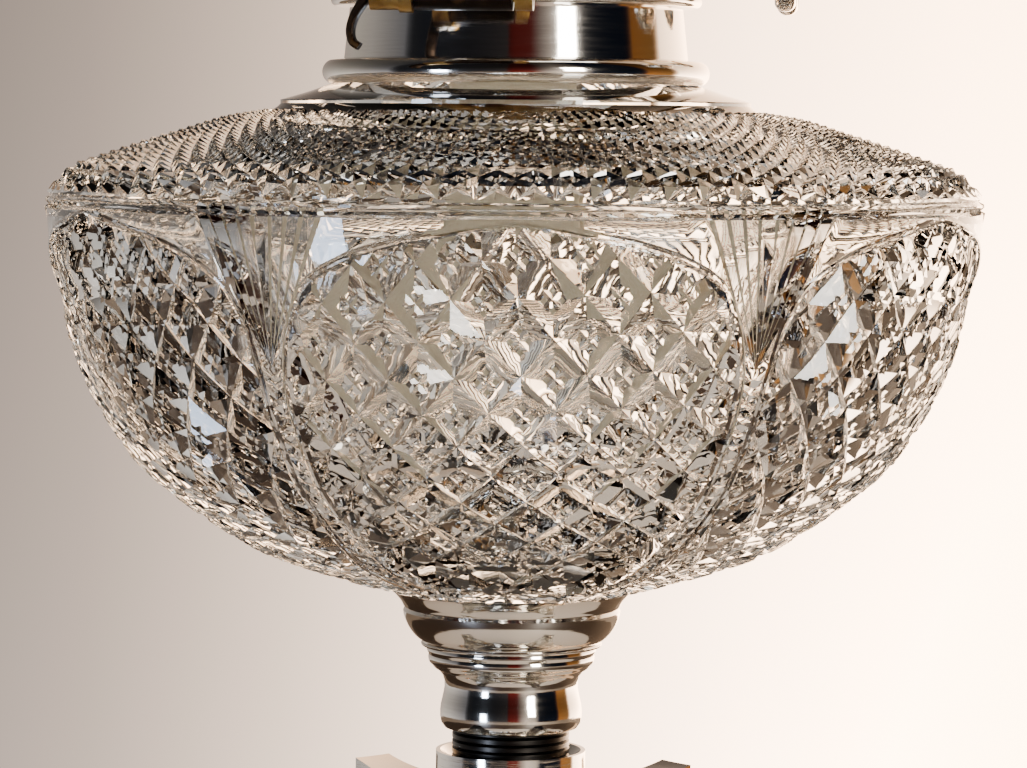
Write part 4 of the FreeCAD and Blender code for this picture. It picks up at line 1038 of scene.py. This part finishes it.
def makeRoom():
    world = bpy.data.worlds.new("room")
    scene.world = world
    world.use_nodes = True
    tree = world.node_tree
    tree.nodes.clear()
    place = addNode(tree, "ShaderNodeTexCoord")
    parts = addNode(tree, "ShaderNodeSeparateXYZ", {0: place.outputs["Generated"]})
    azimuth = addNode(tree, "ShaderNodeMath", {0: parts.outputs["X"], 1: parts.outputs["Y"]},
                      operation="ARCTAN2")
    share = addNode(tree, "ShaderNodeMapRange", {"Value": azimuth.outputs[0], "From Min": -math.pi,
                                                 "From Max": math.pi}).outputs[0]
    low, high = room["range"]
    greys = [(degrees, ((level - low) / (high - low),) * 3 + (1,))
             for degrees, level in room["levels"]]
    level = addNode(tree, "ShaderNodeMapRange", {"Value": azimuthRamp(tree, share, greys),
                                                 "To Min": low, "To Max": high})
    fall = addNode(tree, "ShaderNodeMath", {0: parts.outputs["Z"], 1: room["rise"],
                                            2: level.outputs[0]}, operation="MULTIPLY_ADD")
    limit = addNode(tree, "ShaderNodeClamp", {0: fall.outputs[0], 1: room["limits"][0],
                                              2: room["limits"][1]})
    strength = addNode(tree, "ShaderNodeMath", {0: 2.0, 1: limit.outputs[0]}, operation="POWER")
    tint = azimuthRamp(tree, share, [(degrees, linear(c)) for degrees, c in room["tints"]])
    glow = addNode(tree, "ShaderNodeBackground", {"Color": tint, "Strength": strength.outputs[0]})
    addNode(tree, "ShaderNodeOutputWorld", {"Surface": glow.outputs[0]})


def makeFloor():
    floorMesh = bpy.data.meshes.new("floor")
    shape = bmesh.new()
    bmesh.ops.create_circle(shape, cap_ends=True, segments=96, radius=room["floorRadius"])
    shape.to_mesh(floorMesh)
    shape.free()
    material, tree = newMaterial("clothOnDarkTable")
    place = addNode(tree, "ShaderNodeTexCoord")
    grain = addNode(tree, "ShaderNodeTexNoise", {"Vector": place.outputs["Object"], "Scale": 300.0})
    bump = addNode(tree, "ShaderNodeBump", {"Height": grain.outputs["Fac"], "Strength": 0.05})
    away = addNode(tree, "ShaderNodeVectorMath", {0: place.outputs["Object"]}, operation="LENGTH")
    colour = linear(room["cloth"])
    for radius, outside in ((room["clothRadius"], "table"), (room["tableRadius"], "floor")):
        edge = addNode(tree, "ShaderNodeMapRange", {"Value": away.outputs["Value"],
                                                    "From Min": radius, "From Max": radius + mm})
        colour = addNode(tree, "ShaderNodeMixRGB", {"Fac": edge.outputs[0], 1: colour,
                                                    2: linear(room[outside])}).outputs[0]
    shader = addNode(tree, "ShaderNodeBsdfPrincipled", {
        "Base Color": colour, "Roughness": 0.6, "Normal": bump.outputs[0]})
    addNode(tree, "ShaderNodeOutputMaterial", {"Surface": shader.outputs[0]})
    floor = newObject("floor", floorMesh, material)


def addLamp(name, place, aim, size, power, colour):
    # a soft rectangular light that faces aim
    data = bpy.data.lights.new(name, "AREA")
    data.shape = "RECTANGLE"
    data.size, data.size_y = size
    data.energy = power
    data.color = linear(colour)[:3]
    lamp = bpy.data.objects.new(name, data)
    scene.collection.objects.link(lamp)
    lamp.location = place
    lamp.rotation_mode = "QUATERNION"
    lamp.rotation_quaternion = (Vector(aim) - Vector(place)).to_track_quat("-Z", "Y")


def makeLights():
    middle = (0, 0, 0.42)
    addLamp("windowRight", (1.06, -1.3, 0.85), middle, (0.36, 0.9), 40, "#fff8ee")
    addLamp("windowLeft", (-1.1, -1.3, 0.25), middle, (0.3, 0.5), 16, "#d3e4ff")
    addLamp("ceiling", (0.3, 0.2, 2.2), middle, (0.8, 0.8), 10, "#fff8f0")


makeRoom()
makeFloor()
makeLights()
print("stage made")
